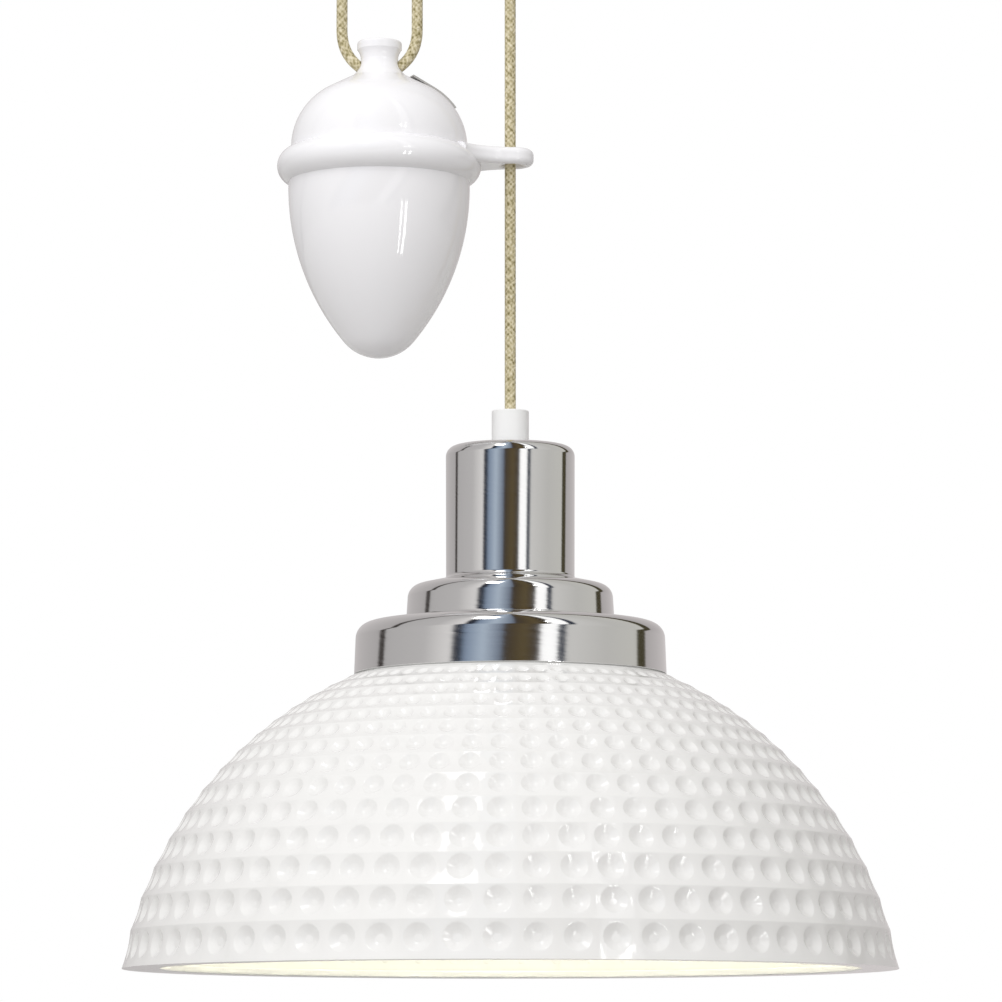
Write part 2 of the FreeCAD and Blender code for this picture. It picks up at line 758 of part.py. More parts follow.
def make_weight_cap():
    """Glazed cap in one piece: bead, dome, neck with its curved cord bore, arm and guide ring."""
    dome = spun("weight_cap_dome", [
        ("egg_radius + 0.2", "0"),
        ("cap_radius", "bead_height", "bead_curve", 1),
        ("cap_radius", "dome_start"),
        (CAP_SLOPE_START, CAP_SLOPE_START_Z, "dome_curve", 1),
        (FLARE_RADIUS, FLARE_Z),
        ("neck_waist_radius", "neck_waist_height", "neck_flare_radius", -1),
        ("neck_rim_radius", "neck_waist_height + neck_lip_height", "neck_lip_curve", -1),
        ("neck_rim_radius", f"{NECK_TOP} - neck_edge"),
        ("neck_rim_radius - neck_edge", NECK_TOP, "neck_edge", 1),
        ("0", NECK_TOP),
        ("0", "cap_ceiling + insert_length"),
        ("insert_radius + close_gap", "cap_ceiling + insert_length"),
        ("insert_radius + close_gap", "cap_ceiling"),
        ("cap_bore_radius - cap_ceiling_curve", "cap_ceiling"),
        ("cap_bore_radius", "cap_ceiling - cap_ceiling_curve", "cap_ceiling_curve", -1),
        ("cap_bore_radius", "seal_thickness"),
        ("seal_inner_radius - close_gap", "seal_thickness"),
        ("seal_outer_radius + close_gap", "seal_thickness"),
        ("seal_outer_radius + close_gap", "0"),
    ])
    place(dome, "weight_axis", "0", "-weight_drop")
    arm = new_body("weight_cap_arm")
    reach = "(lamp_axis - weight_axis + ring_offset)"
    ring, bead = "ring_outer_radius", "bead_radius"
    # each flank is one arc that touches the ring and the bead
    flank = f"(({reach}^2 + {ring}^2 - {bead}^2) / (2 * ({bead} - {ring})))"
    meet = [f"({bead} * {reach} / ({bead} + {flank}))",
            f"({bead} * ({ring} + {flank}) / ({bead} + {flank}))"]
    root = [f"({part} * arm_root_radius / {bead})" for part in meet]
    lug = draw(new_sketch(arm, "XY"), [
        (root[0], f"-{root[1]}"), (meet[0], f"-{meet[1]}"), (reach, f"-{ring}", flank, -1),
        (f"{reach} + {ring}", "0", ring, 1), (reach, ring, ring, 1),
        (meet[0], meet[1], flank, -1), (root[0], root[1]),
    ])
    draw_circle(lug, reach, "0", "ring_hole_radius")
    padded(arm, lug, "ring_thickness", "plate")
    half, hole_radius = number("ring_thickness") / 2, number("ring_hole_radius")

    def is_rim(edge, of_hole):
        return (isinstance(edge.Curve, Part.Circle)
                and abs(abs(edge.Curve.Center.z) - half) < 1e-4
                and abs(abs(edge.Curve.Axis.z) - 1) < 1e-6
                and (abs(edge.Curve.Radius - hole_radius) < 1e-4) == of_hole)

    rounded(arm, "ring_outer_edge", lambda edge: is_rim(edge, False), "outer_edge")
    rounded(arm, "ring_hole_edge", lambda edge: is_rim(edge, True), "hole_edge")
    place(arm, "weight_axis", "0", "-weight_drop + ring_height")
    bore = add("Part::Torus", "weight_cap_cord_bore", Radius1="bore_bend_radius",
               Radius2="cord_radius + bore_gap")
    turn(bore, (1, 0, 0), 90)
    place(bore, "weight_axis", "0", f"-weight_drop + {NECK_TOP}")
    inside = rod("weight_cap_arm_trim", "arm_root_radius - 0.5", "2 * dome_start",
                 "weight_axis", "0", "-weight_drop")
    arm_trimmed = minus("weight_cap_arm_outside", arm, inside)
    whole = joined("weight_cap_whole", dome, arm_trimmed)
    return minus("weight_cap", whole, bore)


def make_weight_seal():
    """Rubber ring between the cap and the egg."""
    outer = rod("weight_seal_blank", "seal_outer_radius", "seal_thickness", "weight_axis", "0",
                "-weight_drop")
    inner = rod("weight_seal_bore", "seal_inner_radius", "seal_thickness", "weight_axis", "0",
                "-weight_drop")
    return minus("weight_seal", outer, inner)


def make_weight_ballast():
    """Cast-iron core that fills the egg and reaches up into the cap."""
    inside = egg_arcs("egg_wall + ballast_gap")
    top_radius = "(cap_bore_radius - ballast_gap)"
    body = spun("weight_ballast", [
        ("0", inside[2][1]),
        (inside[1][0], inside[1][1], inside[2][2], 1),
        (inside[0][0], inside[0][1], inside[1][2], 1),
        (top_radius, "0"),
        (top_radius, "ballast_top - ballast_corner"),
        (f"{top_radius} - ballast_corner", "ballast_top", "ballast_corner", 1),
        ("tie_rod_radius + close_gap", "ballast_top"),
        ("tie_rod_radius + close_gap", "-tie_rod_depth"),
        ("0", "-tie_rod_depth"),
    ])
    place(body, "weight_axis", "0", "-weight_drop")
    return body


def make_weight_inner_metal():
    """Tie rod with its insert in the cap, and the washer and nut on the ballast."""
    low = "-weight_drop"
    tie = rod("weight_tie_rod", "tie_rod_radius", "tie_rod_top + tie_rod_depth", "weight_axis", "0",
              f"{low} - tie_rod_depth")
    insert = minus(
        "cap_insert",
        rod("cap_insert_blank", "insert_radius", "insert_length", "weight_axis", "0",
            f"{low} + cap_ceiling"),
        rod("cap_insert_bore", "tie_rod_radius + close_gap", "insert_length", "weight_axis", "0",
            f"{low} + cap_ceiling"))
    washer = minus(
        "ballast_washer",
        rod("ballast_washer_blank", "washer_radius", "washer_thickness", "weight_axis", "0",
            f"{low} + ballast_top"),
        rod("ballast_washer_bore", "tie_rod_radius + close_gap", "washer_thickness", "weight_axis",
            "0", f"{low} + ballast_top"))
    lock = nut("ballast_nut", "tie_nut_flats", "tie_nut_height", "tie_rod_radius + close_gap",
               "weight_axis", f"{low} + ballast_top + washer_thickness")
    return [tie, insert, washer, lock]


def make_weight_tag():
    """Blank metal plate on the weight's shoulder. It bends one way only, along the dome, so its
    long edges stand off the round surface."""
    gap = "close_gap"
    body = new_body("weight_tag")
    cosine, sine = "cos(dome_slope)", "sin(dome_slope)"
    inner, outer = f"({gap})", f"({gap} + tag_thickness)"

    def on_slope(radius, offset):
        height = f"{CAP_SLOPE_START_Z} + ({CAP_SLOPE_START} - ({radius})) * tan(dome_slope)"
        return f"({radius}) + {offset} * {sine}", f"{height} + {offset} * {cosine}"

    def on_curve(angle, offset):
        reach = f"(dome_curve + {offset})"
        return (f"cap_radius - dome_curve + {reach} * cos({angle})",
                f"dome_start + {reach} * sin({angle})")

    last = "38"
    start_low, start_high = on_slope("tag_inner_radius", inner), on_slope("tag_inner_radius", outer)
    bend_low = on_slope(CAP_SLOPE_START, inner)
    bend_high = on_slope(CAP_SLOPE_START, outer)
    sketch = draw(new_sketch(body, "XZ"), [
        start_low, start_high, bend_high,
        on_curve(last, outer) + (f"dome_curve + {outer}", -1),
        on_curve(last, inner), bend_low + (f"dome_curve + {inner}", 1),
    ])
    padded(body, sketch, "tag_width", "strip")
    turn(body, (0, 0, 1), number("tag_turn"))
    place(body, "weight_axis", "0", "-weight_drop")
    return body


# ---------------------------------------------------------------- shade and gallery

def shade_ridges():
    """Angles, seen from the dome's centre, of the ridges between the rows of dimples. The first
    band stands on the rim. The bands above it are nearly as tall as their dimples are wide, so
    they shrink as the circles do, down to a least height."""
    top = math.degrees(math.acos(number("shade_hole_radius / dome_radius")))
    rim = math.degrees(math.asin(number("-dome_centre / dome_radius")))
    pitch = 360.0 / number("dimple_columns") * number("row_stretch")
    angles = [rim, rim + number("rim_band_angle")]
    while True:
        step = max(pitch * math.cos(math.radians(angles[-1] + pitch * 0.45)),
                   number("least_row_angle"))
        if angles[-1] + 1.5 * step > top:
            break
        angles.append(angles[-1] + step)
    return angles + [top]


def make_shade():
    """Thin glazed bowl with banded sides, a flat turned-in lip and a hole at the top."""
    inner = "(dome_radius - shade_wall)"
    ridges = [(f"dome_radius * cos({angle:.4f})", f"dome_centre + dome_radius * sin({angle:.4f})")
              for angle in shade_ridges()[1:-1]]
    hole = "shade_hole_radius"
    body = spun("shade", [
        ("sqrt(dome_radius^2 - dome_centre^2)", "0"),
        *ridges,
        (hole, "dome_centre + sqrt(dome_radius^2 - shade_hole_radius^2)"),
        (hole, f"dome_centre + sqrt({inner}^2 - shade_hole_radius^2)"),
        (f"sqrt({inner}^2 - (lip_thickness - dome_centre)^2)", "lip_thickness", inner, -1),
        ("sqrt(dome_radius^2 - dome_centre^2) - lip_width", "lip_thickness"),
        ("sqrt(dome_radius^2 - dome_centre^2) - lip_width", "0"),
    ])
    print("shade bands:", len(ridges) + 1)
    place(body, "lamp_axis", "0", "-rim_drop")
    return body


def make_gallery():
    """Spun metal cap in three steps: a skirt on the shade, a waist and a tall neck."""
    wall = "gallery_wall"
    outline = [
        ("skirt_base_radius", SKIRT_BASE),
        ("(skirt_base_radius - skirt_lean)", SKIRT_TOP),
        ("waist_base_radius", WAIST_BASE),
        ("(waist_base_radius - waist_lean)", WAIST_TOP),
        ("neck_base_radius", NECK_BASE),
        ("neck_head_radius", NECK_HEAD),
    ]
    hole = "(nipple_radius + close_gap)"
    inner = [
        *[(f"{radius} - {wall}", f"{height} - {wall}") for radius, height in outline[:0:-1]],
        (f"skirt_base_radius - {wall}", SKIRT_BASE),
    ]
    body = spun("gallery", [
        *outline, (hole, NECK_HEAD), (hole, f"{NECK_HEAD} - {wall}"), *inner])

    def round_both(name, outer_radius, inner_radius, spot):
        """Round one bend of the sheet on its outside and its inside."""
        for side, radius, (r, z) in (("out", outer_radius, outline[spot]),
                                     ("in", inner_radius, inner[5 - spot])):
            r, z = number(r), number(z)
            rounded(body, radius, lambda edge: is_circle(edge, r, z), f"{name}_{side}")

    round_both("skirt", "skirt_corner", f"skirt_corner - {wall}", 1)
    round_both("skirt_top", f"neck_base_fillet - {wall} / 2", f"neck_base_fillet + {wall} / 2", 2)
    round_both("waist", "waist_corner", f"waist_corner - {wall}", 3)
    round_both("neck_base", "neck_base_fillet", f"neck_base_fillet + {wall}", 4)
    round_both("neck_head", "neck_head_corner", f"neck_head_corner - {wall}", 5)
    place(body, "lamp_axis", "0", "-rim_drop")
    return body


def make_lamp_cord_grip():
    """White cylinder that clamps the cord above the gallery."""
    low, high = NECK_HEAD, f"({NECK_HEAD} + lamp_grip_height)"
    socket = f"({NECK_HEAD} + nipple_above)"
    body = spun("lamp_cord_grip", [
        ("nipple_radius + close_gap", low), ("lamp_grip_radius", low),
        ("lamp_grip_radius", f"{high} - lamp_grip_edge"),
        ("lamp_grip_radius - lamp_grip_edge", high, "lamp_grip_edge", 1),
        (GRIP_BORE, high), (GRIP_BORE, socket), ("nipple_radius + close_gap", socket),
    ])
    place(body, "lamp_axis", "0", "-rim_drop")
    return body


def make_threaded_nipple():
    """Hollow threaded rod that joins the grip, the gallery and the lampholder."""
    low = f"({HOLDER_TOP} - nipple_nut_height)"
    high = f"({NECK_HEAD} + nipple_above)"
    body = spun("threaded_nipple", [
        ("nipple_bore", low), ("nipple_radius", low), ("nipple_radius", high), ("nipple_bore", high)])
    place(body, "lamp_axis", "0", "-rim_drop")
    return body


def make_nipple_nut():
    return nut("nipple_nut", "nut_flats", "nipple_nut_height", "nipple_radius + close_gap",
               "lamp_axis", f"-rim_drop + {HOLDER_TOP}")


def make_lampholder_cap():
    """Domed top of the lampholder, screwed to the nipple."""
    top, low = HOLDER_TOP, HOLDER_SEAM
    wall, corner = "holder_cap_wall", "holder_cap_corner"
    inner = f"(holder_cap_radius - {wall})"
    body = spun("lampholder_cap", [
        ("nipple_radius + close_gap", f"{top} - nipple_nut_height"),
        (inner + f" - {corner}", f"{top} - nipple_nut_height"),
        (inner, f"{top} - nipple_nut_height - {corner}", corner, -1),
        (inner, low), ("holder_cap_radius", low),
        ("holder_cap_radius", f"{top} - {corner}"),
        (f"holder_cap_radius - {corner}", top, corner, 1),
        ("nipple_radius + close_gap", top),
    ])
    place(body, "lamp_axis", "0", "-rim_drop")
    return body


def make_lampholder_body():
    """Threaded skirt of the lampholder, with a shelf for the contact block."""
    top, shelf, low = HOLDER_SEAM, HOLDER_SHELF, HOLDER_END
    seat = "(holder_radius - holder_wall)"
    body = spun("lampholder_body", [
        ("holder_bore", low), ("holder_radius", low), ("holder_radius", top), (seat, top),
        (seat, shelf), ("holder_bore", shelf),
    ])
    place(body, "lamp_axis", "0", "-rim_drop")
    return body


def make_contact_block():
    """Ceramic block that carries the contacts."""
    edge = "(holder_radius - holder_wall - close_gap)"
    body = spun("contact_block", [
        ("0", HOLDER_SHELF), (edge, HOLDER_SHELF), (edge, HOLDER_SEAM), ("0", HOLDER_SEAM),
    ])
    place(body, "lamp_axis", "0", "-rim_drop")
    return body


def make_lampholder_brass():
    """Centre contact and screw shell."""
    shelf = HOLDER_SHELF
    contact = spun("centre_contact", [
        ("0", f"{shelf} - contact_height"),
        ("contact_radius - 1", f"{shelf} - contact_height"),
        ("contact_radius", f"{shelf} - contact_height + 1", "1", 1),
        ("contact_radius", shelf), ("0", shelf),
    ])
    shell = spun("screw_shell", [
        ("shell_inner_radius", f"{shelf} - shell_length"),
        ("shell_outer_radius", f"{shelf} - shell_length"),
        ("shell_outer_radius", shelf), ("shell_inner_radius", shelf),
    ])
    for body in (contact, shell):
        place(body, "lamp_axis", "0", "-rim_drop")
    return [contact, shell]


def make_shade_rings():
    """Two rings on the lampholder's thread that clamp the carrier between them."""
    rings = []
    for name, low in (("lower", f"{CARRIER_SEAT} - shade_ring_height"),
                      ("upper", f"{CARRIER_SEAT} + carrier_wall")):
        blank = rod(f"{name}_ring_blank", "shade_ring_radius", "shade_ring_height", "lamp_axis",
                    "0", f"-rim_drop + {low}")
        bore = rod(f"{name}_ring_bore", "holder_radius + close_gap", "shade_ring_height",
                   "lamp_axis", "0", f"-rim_drop + {low}")
        rings.append(minus(f"{name}_shade_ring", blank, bore))
    return rings


def under_shade(radius, depth):
    """Height of the shade's inner wall at a radius, less a depth."""
    return (f"dome_centre + sqrt((dome_radius - shade_wall)^2 - ({radius})^2) - ({depth})")


def make_shade_carrier():
    """Spun steel cone that hangs on the lampholder and lifts the shade by its top edge."""
    wall = "carrier_wall"
    hub, foot, edge = "carrier_hub_radius", "carrier_foot_radius", "carrier_flange_radius"
    depth = "gasket_thickness"
    body = spun("shade_carrier", [
        ("holder_radius + close_gap", CARRIER_SEAT),
        (f"{hub} - {wall}", CARRIER_SEAT),
        (f"{foot} - {wall} / 2", under_shade(foot, f"{depth} + {wall}")),
        (edge, under_shade(edge, f"{depth} + {wall}")),
        (edge, under_shade(edge, depth)),
        (f"{foot} + {wall} / 2", under_shade(f"{foot} + {wall} / 2", depth)),
        (hub, f"{CARRIER_SEAT} + {wall}"),
        ("holder_radius + close_gap", f"{CARRIER_SEAT} + {wall}"),
    ])
    hole = new_sketch(body, "XY")
    draw_circle(hole, f"({hub} + {foot}) / 2", "0", "carrier_vent_radius")
    ringed(body, cut_through(body, hole, "vent"), "carrier_vent_count", "Z")
    place(body, "lamp_axis", "0", "-rim_drop")
    return body


def make_gaskets():
    """Rubber rings above and below the shade's top edge."""
    inner, outer = "(shade_hole_radius + 1)", "(carrier_flange_radius - 1)"
    lower = spun("lower_gasket", [
        (inner, under_shade(inner, "gasket_thickness")),
        (outer, under_shade(outer, "gasket_thickness")),
        (outer, under_shade(outer, "seat_gap")), (inner, under_shade(inner, "seat_gap")),
    ])
    edge = "(skirt_base_radius - 2 * gallery_wall)"

    def on_shade(radius):
        return f"dome_centre + sqrt(dome_radius^2 - ({radius})^2)"

    upper = spun("upper_gasket", [
        (edge, on_shade(edge)), ("skirt_base_radius", on_shade("skirt_base_radius")),
        ("skirt_base_radius", SKIRT_BASE), (edge, SKIRT_BASE),
    ])
    for body in (lower, upper):
        place(body, "lamp_axis", "0", "-rim_drop")
    return [lower, upper]


def make_bulb():
    """Screw cap and a hollow round bulb below it."""
    top = BULB_TOP
    seam = f"({top} - bulb_cap_length)"
    low = f"({top} - bulb_length)"
    middle = f"({low} + bulb_radius)"
    neck, ball, wall = "bulb_neck_radius", "bulb_radius", "bulb_wall"
    cap = spun("bulb_cap", [
        ("0", seam), ("bulb_cap_radius", seam), ("bulb_cap_radius", f"{top} - 6"),
        ("bulb_tip_radius", f"{top} - 2"), ("bulb_tip_radius", top), ("0", top),
    ])
    # the ball runs into the neck where a cone of this slope leaves it
    lean = "28"
    glass = spun("bulb_glass", [
        ("0", low),
        (f"{ball} * cos({lean})", f"{middle} + {ball} * sin({lean})", ball, 1),
        (neck, f"{seam} - 8"),
        ("bulb_cap_radius", seam),
        (f"bulb_cap_radius - {wall}", seam),
        (f"{neck} - {wall}", f"{seam} - 8"),
        (f"({ball} - {wall}) * cos({lean})", f"{middle} + ({ball} - {wall}) * sin({lean})"),
        ("0", f"{low} + {wall}", f"{ball} - {wall}", -1),
    ])
    for body in (cap, glass):
        place(body, "lamp_axis", "0", "-rim_drop")
    return [cap, glass]


# ---------------------------------------------------------------- cord

def cord_tube(label, edges):
    """A solid tube of the cord's section along straight runs and tangent arcs."""
    radius = number("cord_radius")
    path = Part.Wire([edge.toShape() for edge in edges])
    first = path.Edges[0]
    start, heading = first.valueAt(first.FirstParameter), first.tangentAt(first.FirstParameter)
    section = Part.Wire([Part.Circle(start, heading, radius).toShape()])
    pipe = Part.BRepOffsetAPI.MakePipeShell(path)
    pipe.add(section)
    pipe.build()
    pipe.makeSolid()
    solid = pipe.shape()
    expected = math.pi * radius**2 * path.Length
    bends = [round(edge.Curve.Radius, 2) for edge in path.Edges if isinstance(edge.Curve, Part.Circle)]
    print(f"{label}: length {path.Length:.1f}, bend radii {bends},"
          f" volume / (section x length) {solid.Volume / expected:.5f}")
    if abs(solid.Volume / expected - 1) > 0.002:
        raise RuntimeError(f"{label}: the tube doesn't have its section's volume")
    item = doc.addObject("Part::Feature", label)
    item.Label = label
    item.Shape = solid
    return item


def arc_between(centre, radius, start, end):
    """An arc in the XZ plane about centre, between two angles in degrees from +X."""
    points = []
    for degrees in (start, (start + end) / 2, end):
        angle = math.radians(degrees)
        points.append(centre + Vector(radius * math.cos(angle), 0, radius * math.sin(angle)))
    return Part.Arc(*points)


def make_cords():
    """The cord's stretches, from the terminal block in the rose to the lampholder."""
    bend, half, entry = (number(n) for n in ("bore_bend_radius", "loop_half_width",
                                             "loop_entry_angle"))
    weight, lamp = number("weight_axis"), number("lamp_axis")
    saddle = number(f"-weight_drop + {NECK_TOP}")
    cosine, sine = math.cos(math.radians(entry)), math.sin(math.radians(entry))
    # each side bows in from the vertical until it meets the bore's own bend
    bow = (half - bend * cosine) / (1 - cosine)
    bow_z = saddle - bend * sine + bow * sine
    left, right = weight - half, weight + half
    block = number("-plate_thickness - block_height")
    rose_mouth = number("-rose_height - rose_grip_length")
    lamp_mouth = number(f"-rim_drop + {NECK_HEAD} + lamp_grip_height")
    lamp_end = number(f"-rim_drop + {HOLDER_TOP} - nipple_nut_height - tail_inset")
    pulley_z, pulley_x = number("-pulley_drop"), number(PULLEY_AXIS)

    def straight(label, x, high, low):
        return cord_tube(label, [Part.LineSegment(Vector(x, 0, high), Vector(x, 0, low))])

    straight("rose_cord_tail", left, block, rose_mouth)
    straight("cord_fixed_run", left, rose_mouth, bow_z)
    cord_tube("cord_weight_loop", [
        arc_between(Vector(left + bow, 0, bow_z), bow, HALF_TURN, HALF_TURN + entry),
        arc_between(Vector(weight, 0, saddle), bend, HALF_TURN + entry, 2 * HALF_TURN - entry),
        arc_between(Vector(right - bow, 0, bow_z), bow, 2 * HALF_TURN - entry, 2 * HALF_TURN),
    ])
    straight("cord_return_run", right, bow_z, pulley_z)
    cord_tube("cord_pulley_turn", [
        arc_between(Vector(pulley_x, 0, pulley_z), number(PITCH_RADIUS), HALF_TURN, 0)])
    straight("cord_lamp_run", lamp, pulley_z, lamp_mouth)
    straight("lamp_cord_tail", lamp, lamp_mouth, lamp_end)
    total = math.pi * (number(PITCH_RADIUS) + bend * (1 - entry / 90)) + 2 * bow * math.radians(entry)
    total += (block - bow_z) + (pulley_z - bow_z) + (pulley_z - lamp_end)
    print(f"cord from terminal block to lampholder: {total:.0f} mm")


make_ceiling_plate()
make_ceiling_rose()
make_rose_screws()
make_pulley_stem()
make_stem_nuts()
make_pulley_yoke()
make_pulley_axle()
make_axle_clip()
make_ceiling_pulley()
make_pulley_bush()
make_rose_cord_grip()
make_grip_nut()
make_terminal_block()
make_weight_egg()
make_weight_cap()
make_weight_seal()
make_weight_ballast()
make_weight_inner_metal()
make_weight_tag()
make_shade()
make_gallery()
make_lamp_cord_grip()
make_threaded_nipple()
make_nipple_nut()
make_lampholder_cap()
make_lampholder_body()
make_contact_block()
make_lampholder_brass()
make_shade_rings()
make_shade_carrier()
make_gaskets()
make_bulb()
make_cords()

NODES = [
    "ceiling_plate", "ceiling_rose", "rose_screws", "pulley_stem", "stem_nuts", "pulley_yoke",
    "pulley_axle", "axle_clip", "ceiling_pulley", "pulley_bush", "rose_cord_grip", "grip_nut",
    "terminal_block", "weight_egg", "weight_cap", "weight_seal", "weight_ballast",
    "weight_tie_rod", "cap_insert", "ballast_washer", "ballast_nut", "weight_tag", "shade",
    "gallery", "lamp_cord_grip", "threaded_nipple", "nipple_nut", "lampholder_cap",
    "lampholder_body", "contact_block", "centre_contact", "screw_shell", "lower_shade_ring",
    "upper_shade_ring", "shade_carrier", "lower_gasket", "upper_gasket", "bulb_cap",
    "bulb_glass", "rose_cord_tail", "cord_fixed_run", "cord_weight_loop", "cord_return_run",
    "cord_pulley_turn", "cord_lamp_run", "lamp_cord_tail",
]

doc.recompute()
for item in doc.Objects:
    if {"Invalid", "Error"} & set(item.State):
        raise RuntimeError(f"{item.Label} did not compute: {item.State}")
pieces = {label: doc.getObjectsByLabel(label)[0] for label in NODES}
for label, item in pieces.items():
    if item.Shape.isNull() or not item.Shape.isValid() or not item.Shape.Solids:
        raise RuntimeError(f"{label} is not a valid solid")

os.makedirs("parts", exist_ok=True)
for label, item in pieces.items():
    item.Shape.exportStep(f"parts/{label}.step")
    print(f"{label}: {len(item.Shape.Solids)} solid, {item.Shape.Volume / 1000:.2f} cm3")
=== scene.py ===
# Rise and fall pendant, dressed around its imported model. Places are in metres and the sizes of
# pieces in millimetres, apart from the few that a note gives otherwise.
import json
import math

import bpy
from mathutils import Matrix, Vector


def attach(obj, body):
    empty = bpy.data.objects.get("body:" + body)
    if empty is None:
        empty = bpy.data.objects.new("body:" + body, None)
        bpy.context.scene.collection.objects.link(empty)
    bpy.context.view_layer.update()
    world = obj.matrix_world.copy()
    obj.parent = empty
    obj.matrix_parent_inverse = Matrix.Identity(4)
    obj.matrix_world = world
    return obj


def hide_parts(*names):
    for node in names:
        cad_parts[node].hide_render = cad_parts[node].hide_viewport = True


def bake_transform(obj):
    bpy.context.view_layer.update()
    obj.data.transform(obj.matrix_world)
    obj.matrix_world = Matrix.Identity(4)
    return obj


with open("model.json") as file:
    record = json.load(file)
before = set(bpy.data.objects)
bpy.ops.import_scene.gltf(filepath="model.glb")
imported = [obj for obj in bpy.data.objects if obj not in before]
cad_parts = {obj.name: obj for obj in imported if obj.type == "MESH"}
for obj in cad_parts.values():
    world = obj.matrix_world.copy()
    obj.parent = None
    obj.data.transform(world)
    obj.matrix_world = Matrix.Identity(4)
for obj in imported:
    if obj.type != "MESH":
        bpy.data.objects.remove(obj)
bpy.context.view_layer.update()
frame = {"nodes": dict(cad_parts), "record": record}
nodes = frame["nodes"]
scene = bpy.context.scene
scene.view_settings.view_transform = "Standard"
mm = 0.001
lampX, weightX = 0.0415, -0.0224  # axes of the lamp and of the counterweight
rimZ, weightZ = -0.650, -0.2683  # heights of the shade's rim and of the weight's seam


# metres, degrees from straight down, and millimetres of lens and sensor
cameraSettings = {"place": (0.0370, -2.365, -0.7106), "tilt": 96.9, "lens": 177.0, "sensor": 36.0}


def addCamera():
    lensData = bpy.data.cameras.new("camera")
    lensData.lens, lensData.sensor_width = cameraSettings["lens"], cameraSettings["sensor"]
    camera = bpy.data.objects.new("camera", lensData)
    camera.location = cameraSettings["place"]
    camera.rotation_euler = (math.radians(cameraSettings["tilt"]), 0, 0)
    scene.collection.objects.link(camera)
    scene.camera = camera


addCamera()
print("camera placed")


class Wire:
    # a socket of a material that plain arithmetic works on
    def __init__(self, paint, socket):
        self.paint, self.socket = paint, socket

    def __add__(self, other):
        return self.paint.calculate("ADD", self, other)

    def __sub__(self, other):
        return self.paint.calculate("SUBTRACT", self, other)

    def __rsub__(self, other):
        return self.paint.calculate("SUBTRACT", other, self)

    def __mul__(self, other):
        return self.paint.calculate("MULTIPLY", self, other)

    __radd__, __rmul__ = __add__, __mul__


class Paint:
    # the node tree of one material, or of the world
    def __init__(self, tree):
        self.tree = tree
        tree.nodes.clear()

    def node(self, kind, settings=None, sockets=None, output=0):
        made = self.tree.nodes.new(kind)
        for key, setting in (settings or {}).items():
            if key == "stops":
                ramp = made.color_ramp
                while len(ramp.elements) < len(setting):
                    ramp.elements.new(0.5)
                for element, (spot, colour) in zip(ramp.elements, setting):
                    element.position, element.color = spot, (*colour, 1)
            else:
                setattr(made, key, setting)
        for key, value in (sockets or {}).items():
            if isinstance(value, Wire):
                self.tree.links.new(value.socket, made.inputs[key])
            else:
                made.inputs[key].default_value = value
        return Wire(self, made.outputs[output]) if made.outputs else None

    def calculate(self, operation, *values):
        return self.node("ShaderNodeMath", {"operation": operation}, dict(enumerate(values)))

    def axes(self, vector):
        split = self.node("ShaderNodeSeparateXYZ", None, {0: vector}).socket.node
        return [Wire(self, socket) for socket in split.outputs]

    def mixColours(self, share, first, second):
        return self.node("ShaderNodeMix", {"data_type": "RGBA"},
                         {0: share, 6: (*first, 1), 7: (*second, 1)}, 2)

    def place(self, scale, centre=(0, 0, 0)):
        # the object's own coordinates about a centre, stretched by scale
        spot = self.node("ShaderNodeTexCoord", output=3)
        return self.node("ShaderNodeMapping", None, {
            "Vector": spot, "Scale": scale,
            "Location": [-c * s for c, s in zip(centre, scale)]})

    def noise(self, scale, detail=2.0, centre=(0, 0, 0)):
        return self.node("ShaderNodeTexNoise", None, {
            "Vector": self.place(scale, centre), "Scale": 1.0, "Detail": detail})

    def bump(self, height, strength, distance):
        return self.node("ShaderNodeBump", None, {
            "Height": height, "Strength": strength, "Distance": distance})


def newMaterial(name, constants, varying):
    # constants go straight on the shader's sockets; varying is a function that gives links
    material = bpy.data.materials.new(name)
    material.use_nodes = True
    paint = Paint(material.node_tree)
    sockets = dict(constants)
    sockets.update(varying(paint))
    shader = paint.node("ShaderNodeBsdfPrincipled", None, sockets)
    paint.node("ShaderNodeOutputMaterial", None, {"Surface": shader})
    return material


def linear(text):
    # a colour written as it shows on the screen, as the shader wants it
    values = [int(text[i:i + 2], 16) / 255 for i in (0, 2, 4)]
    return tuple(v / 12.92 if v <= 0.04045 else ((v + 0.055) / 1.055) ** 2.4 for v in values)


def porcelain(name, light, shadow, roughness):
    def varying(paint):
        cloud = paint.noise((9, 9, 9), 3)
        return {"Base Color": paint.mixColours(cloud, light, shadow),
                "Roughness": cloud * 0.03 + roughness}
    return newMaterial(name, {"IOR": 1.5}, varying)


def plainCoat(name, light, shadow, roughness, grainScale, grain, metallic=0.0):
    def varying(paint):
        cloud = paint.noise((25, 25, 25), 3)
        speckle = paint.noise((grainScale,) * 3, 2)
        return {"Base Color": paint.mixColours(cloud, light, shadow),
                "Roughness": speckle * 0.12 + roughness,
                "Normal": paint.bump(speckle, grain, 0.0002)}
    return newMaterial(name, {"Metallic": metallic}, varying)


def turnedMetal(name, light, shadow, roughness, centre, lines, strength, spread=0.1):
    # metal with fine marks round the upright axis, as a lathe or a spinning chuck leaves
    def varying(paint):
        marks = paint.noise((6, 6, lines), 3, centre)
        smear = paint.noise((14, 14, 30), 3, centre)
        return {"Base Color": paint.mixColours(smear, light, shadow),
                "Roughness": marks * spread + roughness,
                "Normal": paint.bump(marks, strength, 0.00005)}
    return newMaterial(name, {"Metallic": 1.0}, varying)


braidSizes = {
    # patches round the cord, and the length along it, in metres, after which they repeat
    "yarns": (6, 0.0027), "tracer": (2, 0.0054),
    # how far both wander, round as a share of the turn and along in metres
    "wander": (0.11, 0.0024),
    # how much yarns, tracer and single fibres each show
    "shares": (0.24, 0.16, 0.74),
    "relief": 0.378,
}


